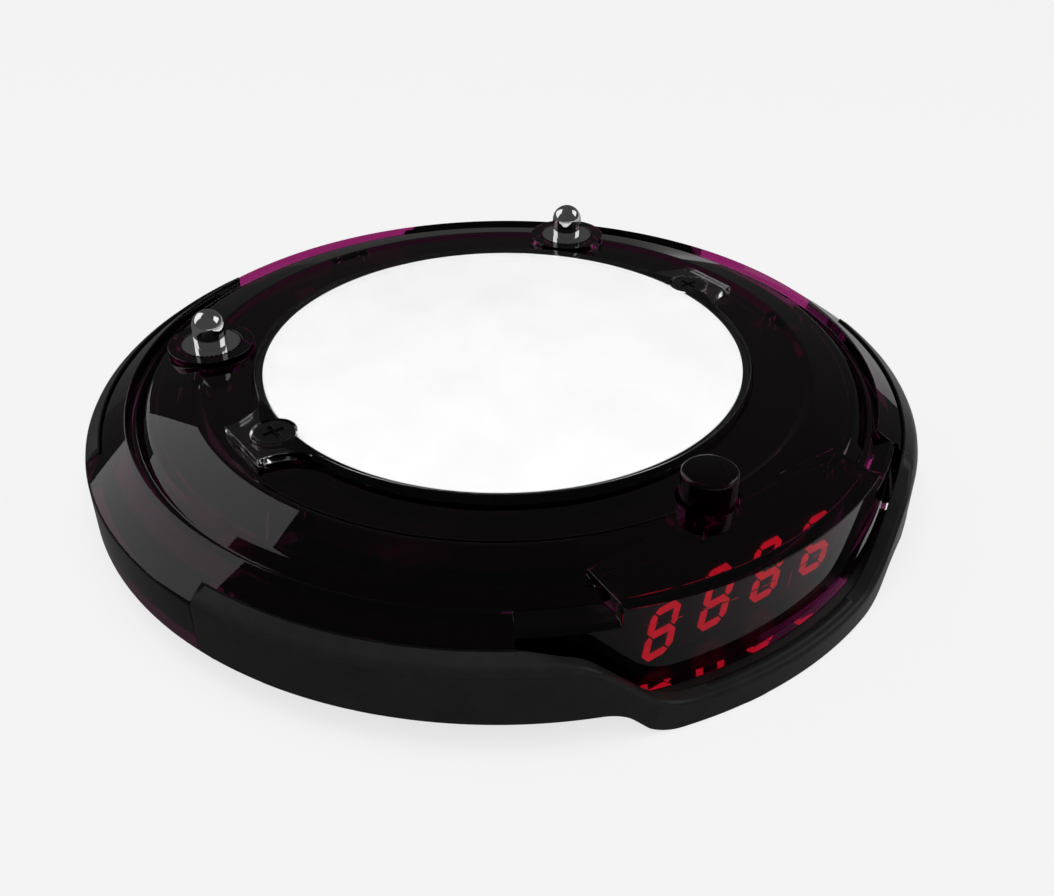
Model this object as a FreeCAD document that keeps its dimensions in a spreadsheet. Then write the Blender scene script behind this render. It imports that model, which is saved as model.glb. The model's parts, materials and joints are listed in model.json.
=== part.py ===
"""A guest pager of the coaster kind: a round plum housing with a label under a clear cover, two charging
pins, a call button, a four-digit display behind a curved window, and black bumpers round its rim.

The frame: +Z up, the display faces -Y, the origin is on the housing's axis at the table.
Lengths are in millimetres and angles in degrees.
"""
import FreeCAD, Part
import math
import os
import re

import Sketcher
from FreeCAD import Placement, Rotation, Vector

# ---------------------------------------------------------------------------------------------------------
# Driving dimensions, written once each
# ---------------------------------------------------------------------------------------------------------
SIZES = {
    # rim, from the table up
    "rim_radius": "52",
    "rim_base_height": "4",
    "rim_wall_height": "6.4",
    "bumper_thickness": "2",
    "bumper_lip": "0.35",            # how far a bumper stands above the sloped rim ring
    "bumper_rounding": "0.7",
    "rim_window_half_angle": "17",   # bare rim between two bumpers
    # top cover, from the rim inwards
    "chamfer_width": "5.3",
    "chamfer_rise": "3.7",
    "groove_flank": "0.5",
    "groove_width": "0.6",
    "groove_depth": "0.8",
    "crown_flank_width": "1.6",
    "crown_flank_rise": "1.45",
    "crown_shoulder_width": "4",
    "crown_shoulder_rise": "1.25",
    "ridge_width": "1.4",
    "inner_slope_width": "1",
    "inner_slope_drop": "0.8",
    "land_width": "6.1",
    "recess_depth": "0.3",
    "shell_wall": "1.8",
    "ceiling_wall": "1.6",
    # display window, shelf and visor
    "window_setback": "3",
    "window_wall": "2",
    "window_base_height": "3.1",
    "shelf_half_angle": "34.5",
    "shelf_edge_height": "13",
    "visor_front_height": "14.54",
    "visor_tilt": "4",
    "visor_depth": "2",
    "visor_front_half_width": "18.6",
    "visor_back_half_width": "17.7",
    "visor_back_inset": "3.5",       # from the ridge to where the cheeks start
    "visor_tail": "1",               # from the ridge to where the visor's own block starts
    # front bumper: its dip beside the display and the chin under it
    "chin_height": "3.2",
    "dip_floor_half_width": "11.6",
    "dip_foot_half_width": "17.6",
    "dip_foot_rise": "2.4",
    "dip_foot_radius": "8",
    "dip_brow_half_width": "21.6",
    "dip_brow_rise": "6.3",
    "dip_shoulder_half_width": "24.3",
    "dip_shoulder_rise": "7.7",
    "dip_shoulder_radius": "5.6",
    "dip_end_half_width": "28.3",
    "dip_end_rise": "9",
    "keel_half_width": "13.7",
    "keel_foot_half_width": "17.4",
    "keel_foot_rise": "1.1",
    "keel_foot_radius": "6",
    "keel_brow_half_width": "19.2",
    "keel_brow_rise": "3",
    "keel_end_half_width": "22.2",
    "keel_end_radius": "4.6",
    # label disc, its clear cover and the cover's screws
    "label_thickness": "0.5",
    "label_margin": "1",
    "cover_gap": "0.3",
    "cover_plate_thickness": "0.85",
    "cover_skirt": "0.8",
    "ear_margin": "1.4",
    "ear_half_width": "4.2",
    "ear_fillet": "5.8",
    "ear_screw_inset": "4.1",
    "ear_head_radius": "2.45",
    "ear_head_height": "0.75",
    "ear_head_gap": "0.2",
    "ear_screw_radius": "1.25",
    "ear_screw_length": "4",
    "ear_post_floor": "0.65",
    # heads of all the cross-head screws, as shares of their radius and height
    "head_crown_share": "0.85",
    "head_edge_share": "0.7",
    "cross_reach_share": "0.55",
    "cross_width_share": "0.24",
    "cross_depth_share": "0.7",
    # charging pins
    "pin_inset": "2.3",
    "pin_angle": "50.5",
    "pin_radius": "2.125",
    "pin_shaft_height": "2.4",
    "pin_shank_radius": "1.5",
    "boss_radius": "5.45",
    "boss_rise": "0.2",
    "collar_radius": "3.85",
    "collar_tooth": "0.32",
    "collar_teeth": "40",
    "collar_thickness": "1.5",
    "nut_radius": "3",
    "nut_thickness": "1.7",
    # call button and its switch
    "button_inset": "0.25",
    "button_radius": "3.15",
    "button_rise": "3.5",
    "button_gap": "0.3",
    "button_rounding": "0.5",
    "button_travel": "0.5",
    "button_foot_half_length": "4.6",
    "button_foot_half_width": "1.4",
    "button_foot_thickness": "0.8",
    "switch_width": "4.4",
    "switch_height": "2.6",
    "plunger_radius": "1.1",
    "plunger_rise": "0.8",
    "plunger_depth": "0.9",
    # display module and digits
    "display_gap": "4.1",
    "display_half_width": "15",
    "display_depth": "3.25",
    "display_height": "8.4",
    "display_lift": "0.2",
    "display_clearance": "0.3",
    "digit_pitch": "7.62",
    "digit_base": "0.9",
    "digit_height": "6.6",
    "digit_width": "4",
    "digit_slant": "10",
    "digit_relief": "0.15",
    "segment_width": "0.85",
    "segment_gap": "0.12",
    # bottom case
    "case_base_height": "1",
    "case_floor": "1.8",
    "case_base_inset": "6",
    "case_step": "3.7",
    "spigot_wall": "1.5",
    "spigot_height": "3",
    "case_relief_angle": "1.5",
    "front_lip_thickness": "1",
    "front_lip_slope": "0.7",
    "ledge_width": "2.2",
    "ledge_rise": "2.8",
    # screws through the case into the cover's posts
    "post_radius": "3",
    "post_spread_angle": "110",
    "case_boss_rise": "2.2",
    "case_screw_radius": "1.25",
    "case_screw_length": "7.7",
    "case_screw_head_radius": "2.5",
    "case_screw_head_height": "1.4",
    "post_bore_rise": "6",
    # feet and charging contacts
    "foot_radius": "4",
    "foot_inset": "13",
    "foot_recess": "0.4",
    "socket_radius": "3.4",
    "socket_wall": "1.6",
    "contact_radius": "4.2",
    "contact_thickness": "1.2",
    # main board and what stands on it
    "board_edge_gap": "1.2",
    "board_thickness": "1.6",
    "led_inset": "3.9",
    "led_spread_angle": "10",
    "led_width": "3",
    "led_height": "1.8",
    "battery_length": "34",
    "battery_width": "24",
    "battery_thickness": "4.6",
    "battery_offset": "4",
    "battery_rounding": "1.5",
    "pad_thickness": "0.5",
    "pad_margin": "2",
    "chip_width": "9",
    "chip_height": "1.2",
    "chip_setback": "3",
    "can_length": "13",
    "can_width": "10",
    "can_height": "2.2",
    "buzzer_radius": "5",
    "buzzer_height": "4.2",
    "buzzer_hole_radius": "1",
    "buzzer_inset": "8.4",
    "buzzer_angle": "34.7",
    "motor_radius": "2.4",
    "motor_length": "10",
    "motor_lift": "0.5",
    "motor_inset": "19.4",
    "motor_setback": "20",
    "motor_shaft_radius": "0.5",
    "motor_shaft_depth": "2.5",
    "weight_radius": "2.2",
    "weight_length": "3.6",
    "weight_gap": "0.8",
    "clamp_length": "6",
    "clamp_wall": "1",
    # clearances
    "fit_gap": "0.1",
    "running_gap": "0.05",
    "overrun": "3",                  # how far a cutting tool runs past what it cuts
}

# ---------------------------------------------------------------------------------------------------------
# Radii, heights and places that follow from the driving dimensions
# ---------------------------------------------------------------------------------------------------------
PLACES = {
    # rim and top cover
    "wall_radius": "rim_radius - bumper_thickness",
    "wall_inner_radius": "wall_radius - shell_wall",
    "rim_top": "rim_base_height + rim_wall_height",
    "chamfer_slope": "chamfer_rise / chamfer_width",
    "chamfer_inner_radius": "rim_radius - chamfer_width",
    "chamfer_top": "rim_top + chamfer_rise",
    "wall_top": "rim_top + bumper_thickness * chamfer_slope",
    "groove_outer_radius": "chamfer_inner_radius - groove_flank",
    "groove_height": "chamfer_top - groove_depth",
    "crown_radius": "groove_outer_radius - groove_width",
    "shoulder_radius": "crown_radius - crown_flank_width",
    "shoulder_height": "groove_height + crown_flank_rise",
    "ridge_radius": "shoulder_radius - crown_shoulder_width",
    "ridge_height": "shoulder_height + crown_shoulder_rise",
    "ridge_inner_radius": "ridge_radius - ridge_width",
    "land_radius": "ridge_inner_radius - inner_slope_width",
    "land_height": "ridge_height - inner_slope_drop",
    "recess_radius": "land_radius - land_width",
    "recess_height": "land_height - recess_depth",
    "ceiling_height": "recess_height - ceiling_wall",
    "groove_under": "groove_height - ceiling_wall",
    "wall_corner_height": "groove_under - (wall_inner_radius - groove_outer_radius) * chamfer_slope",
    "crown_inner_radius": "crown_radius - shell_wall / 2",
    "ceiling_radius": "crown_inner_radius - (ceiling_height - groove_under) * crown_flank_width / crown_flank_rise",
    # window, shelf and visor
    "window_radius": "rim_radius - window_setback",
    "window_inner_radius": "window_radius - window_wall",
    "visor_axis_height": "visor_front_height + window_radius * tan(visor_tilt)",
    "visor_back": "ridge_radius - visor_back_inset",
    "cheek_slope": "(visor_front_half_width - visor_back_half_width) / (window_radius - visor_back)",
    "visor_start": "ridge_radius - visor_tail",
    "visor_end": "rim_radius",
    "flat_start_half_width": "visor_back_half_width + (recess_radius - visor_back) * cheek_slope",
    "visor_start_half_width": "visor_back_half_width + (visor_start - visor_back) * cheek_slope",
    "visor_end_half_width": "visor_back_half_width + (visor_end - visor_back) * cheek_slope",
    "tool_top": "ridge_height + overrun",
    "tool_radius": "rim_radius + 2 * overrun",
    # bumpers
    "bumper_top": "wall_top + bumper_lip",
    "bumper_edge": "rim_top + bumper_lip",
    # label and cover
    "cover_radius": "recess_radius - cover_gap",
    "label_radius": "cover_radius - label_margin",
    "cover_top": "recess_height + label_thickness + running_gap + cover_plate_thickness",
    "cover_under": "cover_top - cover_plate_thickness",
    "ear_end": "land_radius - ear_margin",
    "ear_screw_place": "ear_end - ear_screw_inset",
    "ear_hole_radius": "ear_screw_radius + fit_gap",
    "ear_seat_radius": "ear_head_radius + ear_head_gap",
    "ear_screw_seat": "cover_top - ear_head_height",
    "ear_post_radius": "ear_screw_radius + shell_wall",
    "ear_bore_end": "ear_screw_seat - ear_screw_length - fit_gap",
    "ear_post_base": "ear_bore_end - ear_post_floor",
    # pins
    "pin_ring_radius": "ridge_radius - pin_inset",
    "pin_x": "pin_ring_radius * sin(pin_angle)",
    "pin_y": "pin_ring_radius * cos(pin_angle)",
    "boss_top": "ridge_height + boss_rise",
    "collar_seat": "boss_top - collar_thickness",
    "collar_seat_radius": "collar_radius + running_gap",
    # button and switch
    "button_place": "land_radius - button_inset",
    "button_top": "land_height + button_rise",
    "button_hole_radius": "button_radius + button_gap",
    "button_foot_top": "ceiling_height - button_gap",
    "button_foot_base": "button_foot_top - button_foot_thickness",
    "switch_top": "board_top + switch_height",
    "plunger_top": "switch_top + plunger_rise",
    "switch_bore_depth": "plunger_depth + button_travel + fit_gap",
    # display
    "display_face": "window_inner_radius - display_gap",
    "display_back": "display_face - display_depth",
    "display_base": "floor_top + display_lift",
    "display_top": "display_base + display_height",
    # bottom case and board
    "floor_top": "case_base_height + case_floor",
    "case_base_radius": "wall_radius - case_base_inset",
    "case_rim_radius": "wall_radius - case_step",
    "spigot_radius": "wall_inner_radius - fit_gap",
    "spigot_inner_radius": "spigot_radius - spigot_wall",
    "spigot_top": "rim_base_height + spigot_height",
    "case_relief_half_angle": "shelf_half_angle + case_relief_angle",
    "front_lip_top": "window_base_height - fit_gap",
    "front_lip_base": "front_lip_top - front_lip_thickness",
    "front_lip_radius": "wall_radius - fit_gap",
    "board_radius": "spigot_inner_radius - board_edge_gap",
    "ledge_radius": "board_radius - ledge_width",
    "board_base": "floor_top + ledge_rise",
    "board_top": "board_base + board_thickness",
    "post_ring_radius": "ledge_radius - post_radius - 2 * fit_gap",
    "case_boss_top": "floor_top + case_boss_rise",
    "post_base": "case_boss_top + fit_gap",
    "foot_top": "case_base_height + foot_recess",
    "contact_base": "board_base - contact_thickness",
    "foot_ring_radius": "case_base_radius - foot_inset",
    "led_ring_radius": "board_radius - led_inset",
    "chip_offset": "(battery_length / 2 + led_ring_radius - led_width / 2) / 2",
    "buzzer_ring_radius": "post_ring_radius - buzzer_inset",
    "buzzer_x": "buzzer_ring_radius * cos(buzzer_angle)",
    "buzzer_y": "-buzzer_ring_radius * sin(buzzer_angle)",
    # motor
    "motor_axis_height": "board_top + motor_lift + motor_radius",
    "motor_offset": "board_radius - motor_inset",
    "motor_end": "motor_offset - motor_length / 2",
    "weight_start": "motor_end - weight_gap",
    "weight_end": "weight_start - weight_length",
}

doc = FreeCAD.newDocument("GuestPager")
sheet = doc.addObject("Spreadsheet::Sheet", "Sizes")
nodes = []


# ---------------------------------------------------------------------------------------------------------
# Sizes: the sheet, and texts that are worked out from it
# ---------------------------------------------------------------------------------------------------------
def fill_sheet():
    """One row for each driving dimension: its name, and its value under the same name as alias."""
    for row, (name, number) in enumerate(SIZES.items(), start=1):
        sheet.set(f"A{row}", name)
        sheet.set(f"B{row}", number)
        sheet.setAlias(f"B{row}", name)
    doc.recompute()


def expand(text):
    """The text as an expression in which every name is read from the sheet."""
    def opened(word):
        name = word.group()
        if name in PLACES:
            return f"({expand(PLACES[name])})"
        return f"Sizes.{name}" if name in SIZES else name
    return re.sub(r"[a-z_]+", opened, text)


def number(text):
    """The value of a text of names."""
    result = sheet.evalExpression(expand(text))
    return float(getattr(result, "Value", result))


def bind(item, prop, text):
    """Tie a property of a document object to the sheet."""
    item.setExpression(prop, expand(text))


# ---------------------------------------------------------------------------------------------------------
# Sketches
# ---------------------------------------------------------------------------------------------------------
def arc_between(start, end, radius):
    """A round stretch between two points: it turns left on its way for a positive radius, right for a negative."""
    first, last = (start, end) if radius > 0 else (end, start)
    chord = last - first
    reach = math.sqrt(radius ** 2 - chord.Length ** 2 / 4)
    centre = (first + last) / 2 + Vector(-chord.y, chord.x, 0).normalize() * reach
    angles = [math.atan2(point.y - centre.y, point.x - centre.x) for point in (first, last)]
    if angles[1] < angles[0]:
        angles[1] += 2 * math.pi
    return Part.ArcOfCircle(Part.Circle(centre, Vector(0, 0, 1), abs(radius)), *angles)


def pin_point(drawing, geometry, end, across, up):
    """Hold one point of a sketch at two texts of names."""
    for kind, text in (("DistanceX", across), ("DistanceY", up)):
        index = drawing.addConstraint(Sketcher.Constraint(kind, -1, 1, geometry, end, number(text)))
        if text != "0":
            drawing.setExpression(f"Constraints[{index}]", expand(text))


def draw_outline(drawing, points):
    """A closed outline. A point is (across, up), or (across, up, radius) where an arc leads on from it."""
    places = [Vector(number(point[0]), number(point[1]), 0) for point in points]
    ends = []
    for index, point in enumerate(points):
        start = places[index]
        stop = places[(index + 1) % len(points)]
        if len(point) == 2:
            geometry = drawing.addGeometry(Part.LineSegment(start, stop), False)
            ends.append((geometry, 1, 2))
            continue
        radius = number(point[2])
        geometry = drawing.addGeometry(arc_between(start, stop, radius), False)
        ends.append((geometry, 1, 2) if radius > 0 else (geometry, 2, 1))
    for index, (geometry, start, stop) in enumerate(ends):
        after, after_start, _ = ends[(index + 1) % len(ends)]
        drawing.addConstraint(Sketcher.Constraint("Coincident", geometry, stop, after, after_start))
    for (geometry, start, stop), point in zip(ends, points):
        pin_point(drawing, geometry, start, point[0], point[1])
        if len(point) == 3:
            size = point[2].lstrip("-")
            index = drawing.addConstraint(Sketcher.Constraint("Radius", geometry, number(size)))
            drawing.setExpression(f"Constraints[{index}]", expand(size))


def draw_circle(drawing, across, up, radius):
    """A circle held by its centre and its radius."""
    centre = Vector(number(across), number(up), 0)
    geometry = drawing.addGeometry(Part.Circle(centre, Vector(0, 0, 1), number(radius)), False)
    pin_point(drawing, geometry, 3, across, up)
    index = drawing.addConstraint(Sketcher.Constraint("Radius", geometry, number(radius)))
    drawing.setExpression(f"Constraints[{index}]", expand(radius))


def sketch(body, name, role, outlines=(), circles=(), offset="0", turn=None, axis=Vector(0, 1, 0)):
    """A sketch on one of the body's origin planes, moved out by offset and turned about an axis of its own."""
    drawing = body.newObject("Sketcher::SketchObject", name)
    plane = next(item for item in body.Origin.OriginFeatures if item.Role == role)
    drawing.AttachmentSupport = [(plane, "")]
    drawing.MapMode = "FlatFace"
    if turn is not None:
        drawing.AttachmentOffset = Placement(Vector(0, 0, 0), Rotation(axis, number(turn)))
        bind(drawing, "AttachmentOffset.Rotation.Angle", turn)
    bind(drawing, "AttachmentOffset.Base.z", offset)
    for outline in outlines:
        draw_outline(drawing, outline)
    for circle in circles:
        draw_circle(drawing, *circle)
    return drawing


def mirrored_outline(half):
    """An outline that is even about the upright axis, from its right half, listed from the bottom up."""
    left = [(f"-({point[0]})",) + tuple(point[1:2]) for point in reversed(half)]
    arcs = [point[2] if len(point) == 3 else None for point in half]
    for index, arc in enumerate(reversed(arcs[:-1])):
        if arc is not None:
            left[index] = left[index] + (arc,)
    return list(half) + left


# ---------------------------------------------------------------------------------------------------------
# Features
# ---------------------------------------------------------------------------------------------------------
def new_body(name, x="0", y="0", z="0"):
    """A body for one sub-part, placed in the pager's frame."""
    body = doc.addObject("PartDesign::Body", name)
    body.Label = name
    place(body, x, y, z)
    nodes.append(body)
    return body


def place(item, x="0", y="0", z="0"):
    """Tie the item's place to the sheet."""
    for letter, text in zip("xyz", (x, y, z)):
        bind(item, f"Placement.Base.{letter}", text)


def extrude(body, kind, profile, length, turned_round=False):
    """A Pad or a Pocket. A Pocket runs against its sketch's normal unless it is turned round."""
    feature = body.newObject(f"PartDesign::{kind}", f"{profile.Name}_{kind}")
    feature.Profile = profile
    feature.Reversed = turned_round
    bind(feature, "Length", length)
    profile.Visibility = False
    return feature


def spin(body, kind, profile, angle=None):
    """A Revolution or a Groove about the sketch's upright axis, a full turn or evenly about the sketch."""
    feature = body.newObject(f"PartDesign::{kind}", f"{profile.Name}_{kind}")
    feature.Profile = profile
    feature.ReferenceAxis = (profile, ["V_Axis"])
    if angle is not None:
        feature.Midplane = True
        bind(feature, "Angle", angle)
    return feature


def around_axis(body, feature, copies, angle):
    """Copies of a feature about the upright axis, spread over an angle."""
    pattern = body.newObject("PartDesign::PolarPattern", f"{feature.Name}_Ring")
    pattern.Originals = [feature]
    pattern.Axis = (feature.Profile[0], ["V_Axis"])
    pattern.Angle = angle
    pattern.Occurrences = copies
    body.Tip = pattern
    return pattern


def round_edges(body, name, radius, wanted):
    """Round the edges of the body so far that the test wanted picks."""
    doc.recompute()
    base = body.Tip
    edges = [f"Edge{index}" for index, edge in enumerate(base.Shape.Edges, start=1) if wanted(edge)]
    feature = body.newObject("PartDesign::Fillet", name)
    feature.Base = (base, edges)
    bind(feature, "Radius", radius)
    return feature


def on_radius(edge, radius, tolerance_share=0.001):
    """Whether both ends of an edge lie at a distance from the upright axis."""
    ends = [vertex.Point for vertex in edge.Vertexes]
    return all(abs(math.hypot(end.x, end.y) - radius) < radius * tolerance_share for end in ends)


def box(name, length, width, height):
    """A box, centred on its place, that stands on its base."""
    item = doc.addObject("Part::Box", name)
    bind(item, "Length", length)
    bind(item, "Width", width)
    bind(item, "Height", height)
    return item


def place_box(item, length, width, x, y, z):
    """Put a box's centre line at x, y and its base at z."""
    place(item, f"({x}) - ({length}) / 2", f"({y}) - ({width}) / 2", z)


def cylinder(name, radius, height, x="0", y="0", z="0"):
    """An upright cylinder."""
    item = doc.addObject("Part::Cylinder", name)
    bind(item, "Radius", radius)
    bind(item, "Height", height)
    place(item, x, y, z)
    return item


def lay_along_x(item):
    """Turn an upright cylinder so that it runs along +X from its place."""
    item.Placement.Rotation = Rotation(Vector(0, 1, 0), 90)


def cut(name, base, tool):
    """One shape less another."""
    item = doc.addObject("Part::Cut", name)
    item.Base = base
    item.Tool = tool
    return item


def as_node(item, name):
    """Name a finished shape as a sub-part."""
    item.Label = name
    nodes.append(item)
    return item


# ---------------------------------------------------------------------------------------------------------
# Places that several pieces share
# ---------------------------------------------------------------------------------------------------------
SIDES = {"left": "-", "right": ""}
PIN_PLACES = [(f"{sign}pin_x", "pin_y") for sign in SIDES.values()]
EAR_PLACES = [(f"{sign}ear_screw_place", "0") for sign in SIDES.values()]
POST_PLACES = [
    ("0", "post_ring_radius"),
    ("post_ring_radius * sin(post_spread_angle)", "post_ring_radius * cos(post_spread_angle)"),
    ("-post_ring_radius * sin(post_spread_angle)", "post_ring_radius * cos(post_spread_angle)"),
]
FOOT_PLACES = [
    ("0", "foot_ring_radius"),
    ("foot_ring_radius * cos(30)", "-foot_ring_radius * sin(30)"),
    ("-foot_ring_radius * cos(30)", "-foot_ring_radius * sin(30)"),
]


def circles_at(places, radius):
    """One circle of a radius at each place."""
    return [(x, y, radius) for x, y in places]


# ---------------------------------------------------------------------------------------------------------
# Top cover
# ---------------------------------------------------------------------------------------------------------
def cover_shell(body):
    """The round shell: rim wall, sloped ring, groove, crown, land, recess, and the same again inside."""
    profile = sketch(body, "CoverProfile", "XZ_Plane", outlines=[[
        ("wall_inner_radius", "rim_base_height"),
        ("wall_radius", "rim_base_height"),
        ("wall_radius", "wall_top"),
        ("chamfer_inner_radius", "chamfer_top"),
        ("groove_outer_radius", "groove_height"),
        ("crown_radius", "groove_height"),
        ("shoulder_radius", "shoulder_height"),
        ("ridge_radius", "ridge_height"),
        ("ridge_inner_radius", "ridge_height"),
        ("land_radius", "land_height"),
        ("recess_radius", "land_height"),
        ("recess_radius", "recess_height"),
        ("0", "recess_height"),
        ("0", "ceiling_height"),
        ("ceiling_radius", "ceiling_height"),
        ("crown_inner_radius", "groove_under"),
        ("groove_outer_radius", "groove_under"),
        ("wall_inner_radius", "wall_corner_height"),
    ]])
    spin(body, "Revolution", profile)


def cover_rim_windows(body):
    """Three bare stretches of rim that stand out flush with the bumpers, at both sides and the back."""
    profile = sketch(body, "RimWindowProfile", "XZ_Plane", outlines=[[
        ("wall_inner_radius", "rim_base_height"),
        ("rim_radius", "rim_base_height"),
        ("rim_radius", "rim_top"),
        ("wall_radius", "wall_top"),
        ("wall_inner_radius", "wall_corner_height"),
    ]])
    window = spin(body, "Revolution", profile, "2 * rim_window_half_angle")
    around_axis(body, window, 3, 180)


def cover_front(body):
    """The display window, the shelf above its ends and the flat visor, cut into the front of the shell."""
    relief = sketch(body, "FrontRelief", "XZ_Plane", turn="-90", outlines=[[
        ("window_radius", "rim_base_height - overrun"),
        ("tool_radius", "rim_base_height - overrun"),
        ("tool_radius", "tool_top"),
        ("crown_radius", "tool_top"),
        ("crown_radius", "groove_height"),
        ("window_radius", "shelf_edge_height"),
    ]])
    spin(body, "Groove", relief, "2 * shelf_half_angle")
    window = sketch(body, "WindowProfile", "XZ_Plane", turn="-90", outlines=[[
        ("window_inner_radius", "window_base_height"),
        ("window_radius", "window_base_height"),
        ("window_radius", "shelf_edge_height"),
        ("crown_radius", "groove_height"),
        ("crown_inner_radius", "groove_under"),
        ("window_inner_radius", "groove_under"),
    ]])
    spin(body, "Revolution", window, "2 * shelf_half_angle")
    flat = sketch(
        body, "VisorFlat", "XY_Plane", offset="visor_axis_height", turn="visor_tilt", axis=Vector(1, 0, 0),
        outlines=[[
            ("flat_start_half_width", "-recess_radius"),
            ("-(flat_start_half_width)", "-recess_radius"),
            ("-(visor_end_half_width)", "-visor_end"),
            ("visor_end_half_width", "-visor_end"),
        ]])
    extrude(body, "Pocket", flat, "tool_top", turned_round=True)
    visor = sketch(
        body, "VisorBlock", "XY_Plane", offset="visor_axis_height", turn="visor_tilt", axis=Vector(1, 0, 0),
        outlines=[[
            ("visor_start_half_width", "-visor_start"),
            ("-(visor_start_half_width)", "-visor_start"),
            ("-(visor_end_half_width)", "-visor_end"),
            ("visor_end_half_width", "-visor_end"),
        ]])
    extrude(body, "Pad", visor, "visor_depth", turned_round=True)
    face = sketch(body, "WindowFace", "XZ_Plane", turn="-90", outlines=[[
        ("window_radius", "0"),
        ("tool_radius", "0"),
        ("tool_radius", "tool_top"),
        ("window_radius", "tool_top"),
    ]])
    spin(body, "Groove", face, "2 * shelf_half_angle")


def cover_posts(body):
    """Posts for the case screws and the ear screws, the bosses of the charging pins, and all their holes."""
    posts = sketch(body, "CasePosts", "XY_Plane", offset="post_base", circles=circles_at(POST_PLACES, "post_radius"))
    extrude(body, "Pad", posts, "ceiling_height - post_base")
    bores = sketch(
        body, "CasePostBores", "XY_Plane", offset="post_base",
        circles=circles_at(POST_PLACES, "case_screw_radius + running_gap"))
    extrude(body, "Pocket", bores, "post_bore_rise", turned_round=True)
    ear_posts = sketch(
        body, "EarPosts", "XY_Plane", offset="ear_post_base", circles=circles_at(EAR_PLACES, "ear_post_radius"))
    extrude(body, "Pad", ear_posts, "ceiling_height - ear_post_base")
    ear_bores = sketch(
        body, "EarBores", "XY_Plane", offset="tool_top",
        circles=circles_at(EAR_PLACES, "ear_screw_radius + running_gap"))
    extrude(body, "Pocket", ear_bores, "tool_top - ear_bore_end")
    bosses = sketch(body, "PinBosses", "XY_Plane", offset="boss_top", circles=circles_at(PIN_PLACES, "boss_radius"))
    extrude(body, "Pad", bosses, "boss_top - ceiling_height", turned_round=True)
    seats = sketch(
        body, "CollarSeats", "XY_Plane", offset="boss_top", circles=circles_at(PIN_PLACES, "collar_seat_radius"))
    extrude(body, "Pocket", seats, "collar_thickness")
    shanks = sketch(
        body, "PinHoles", "XY_Plane", offset="boss_top",
        circles=circles_at(PIN_PLACES, "pin_shank_radius + running_gap"))
    extrude(body, "Pocket", shanks, "boss_top - ceiling_height + overrun")


def make_top_cover():
    body = new_body("top_cover")
    cover_shell(body)
    cover_rim_windows(body)
    cover_front(body)
    cover_posts(body)
    button_hole = sketch(
        body, "ButtonHole", "XY_Plane", offset="tool_top", circles=[("0", "-button_place", "button_hole_radius")])
    extrude(body, "Pocket", button_hole, "tool_top - ceiling_height + overrun")


# ---------------------------------------------------------------------------------------------------------
# Bumpers
# ---------------------------------------------------------------------------------------------------------
BUMPER_SECTION = [
    ("wall_radius", "rim_base_height"),
    ("rim_radius", "rim_base_height"),
    ("rim_radius", "bumper_edge"),
    ("wall_radius", "bumper_top"),
]


def bumper_band(name, direction, sweep):
    """A band round the rim with a rounded top edge, its middle in a direction."""
    body = new_body(name)
    section = sketch(body, f"{name}_section", "XZ_Plane", turn=direction, outlines=[BUMPER_SECTION])
    spin(body, "Revolution", section, sweep)
    rim_radius = number("rim_radius")
    edge_height = number("bumper_edge")
    round_edges(
        body, f"{name}_rounding", "bumper_rounding",
        lambda edge: on_radius(edge, rim_radius) and abs(edge.CenterOfMass.z - edge_height) < edge_height / 100)
    return body


def make_front_bumper():
    """The front band: along the rim on both sides, dipping beside the display and passing under it."""
    body = bumper_band("front_bumper", "-90", "180 - 2 * rim_window_half_angle")
    chin = sketch(body, "ChinSection", "XZ_Plane", turn="-90", outlines=[[
        ("wall_radius", "0"),
        ("rim_radius", "0"),
        ("rim_radius", "rim_base_height"),
        ("wall_radius", "rim_base_height"),
    ]])
    spin(body, "Revolution", chin, "2 * shelf_half_angle")
    dip = sketch(body, "Dip", "XZ_Plane", offset="ridge_radius", outlines=[mirrored_outline([
        ("dip_floor_half_width", "chin_height", "dip_foot_radius"),
        ("dip_foot_half_width", "chin_height + dip_foot_rise"),
        ("dip_brow_half_width", "chin_height + dip_brow_rise", "-dip_shoulder_radius"),
        ("dip_shoulder_half_width", "chin_height + dip_shoulder_rise"),
        ("dip_end_half_width", "chin_height + dip_end_rise"),
        ("dip_end_half_width", "tool_top"),
    ])])
    extrude(body, "Pocket", dip, "rim_radius", turned_round=True)
    keels = [[
        (f"{sign}keel_half_width", "0", f"{bulge}keel_foot_radius"),
        (f"{sign}keel_foot_half_width", "keel_foot_rise"),
        (f"{sign}keel_brow_half_width", "keel_brow_rise", f"{hollow}keel_end_radius"),
        (f"{sign}keel_end_half_width", "rim_base_height"),
        (f"{sign}rim_radius", "rim_base_height"),
        (f"{sign}rim_radius", "-overrun"),
        (f"{sign}keel_half_width", "-overrun"),
    ] for sign, bulge, hollow in (("", "", "-"), ("-", "-", ""))]
    keel = sketch(body, "Keel", "XZ_Plane", offset="ridge_radius", outlines=keels)
    extrude(body, "Pocket", keel, "rim_radius", turned_round=True)


# ---------------------------------------------------------------------------------------------------------
# Label, its clear cover and its screws
# ---------------------------------------------------------------------------------------------------------
def make_label_disc():
    body = new_body("label_disc", z="recess_height")
    face = sketch(body, "LabelFace", "XY_Plane", circles=[("0", "0", "label_radius")])
    extrude(body, "Pad", face, "label_thickness")


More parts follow.
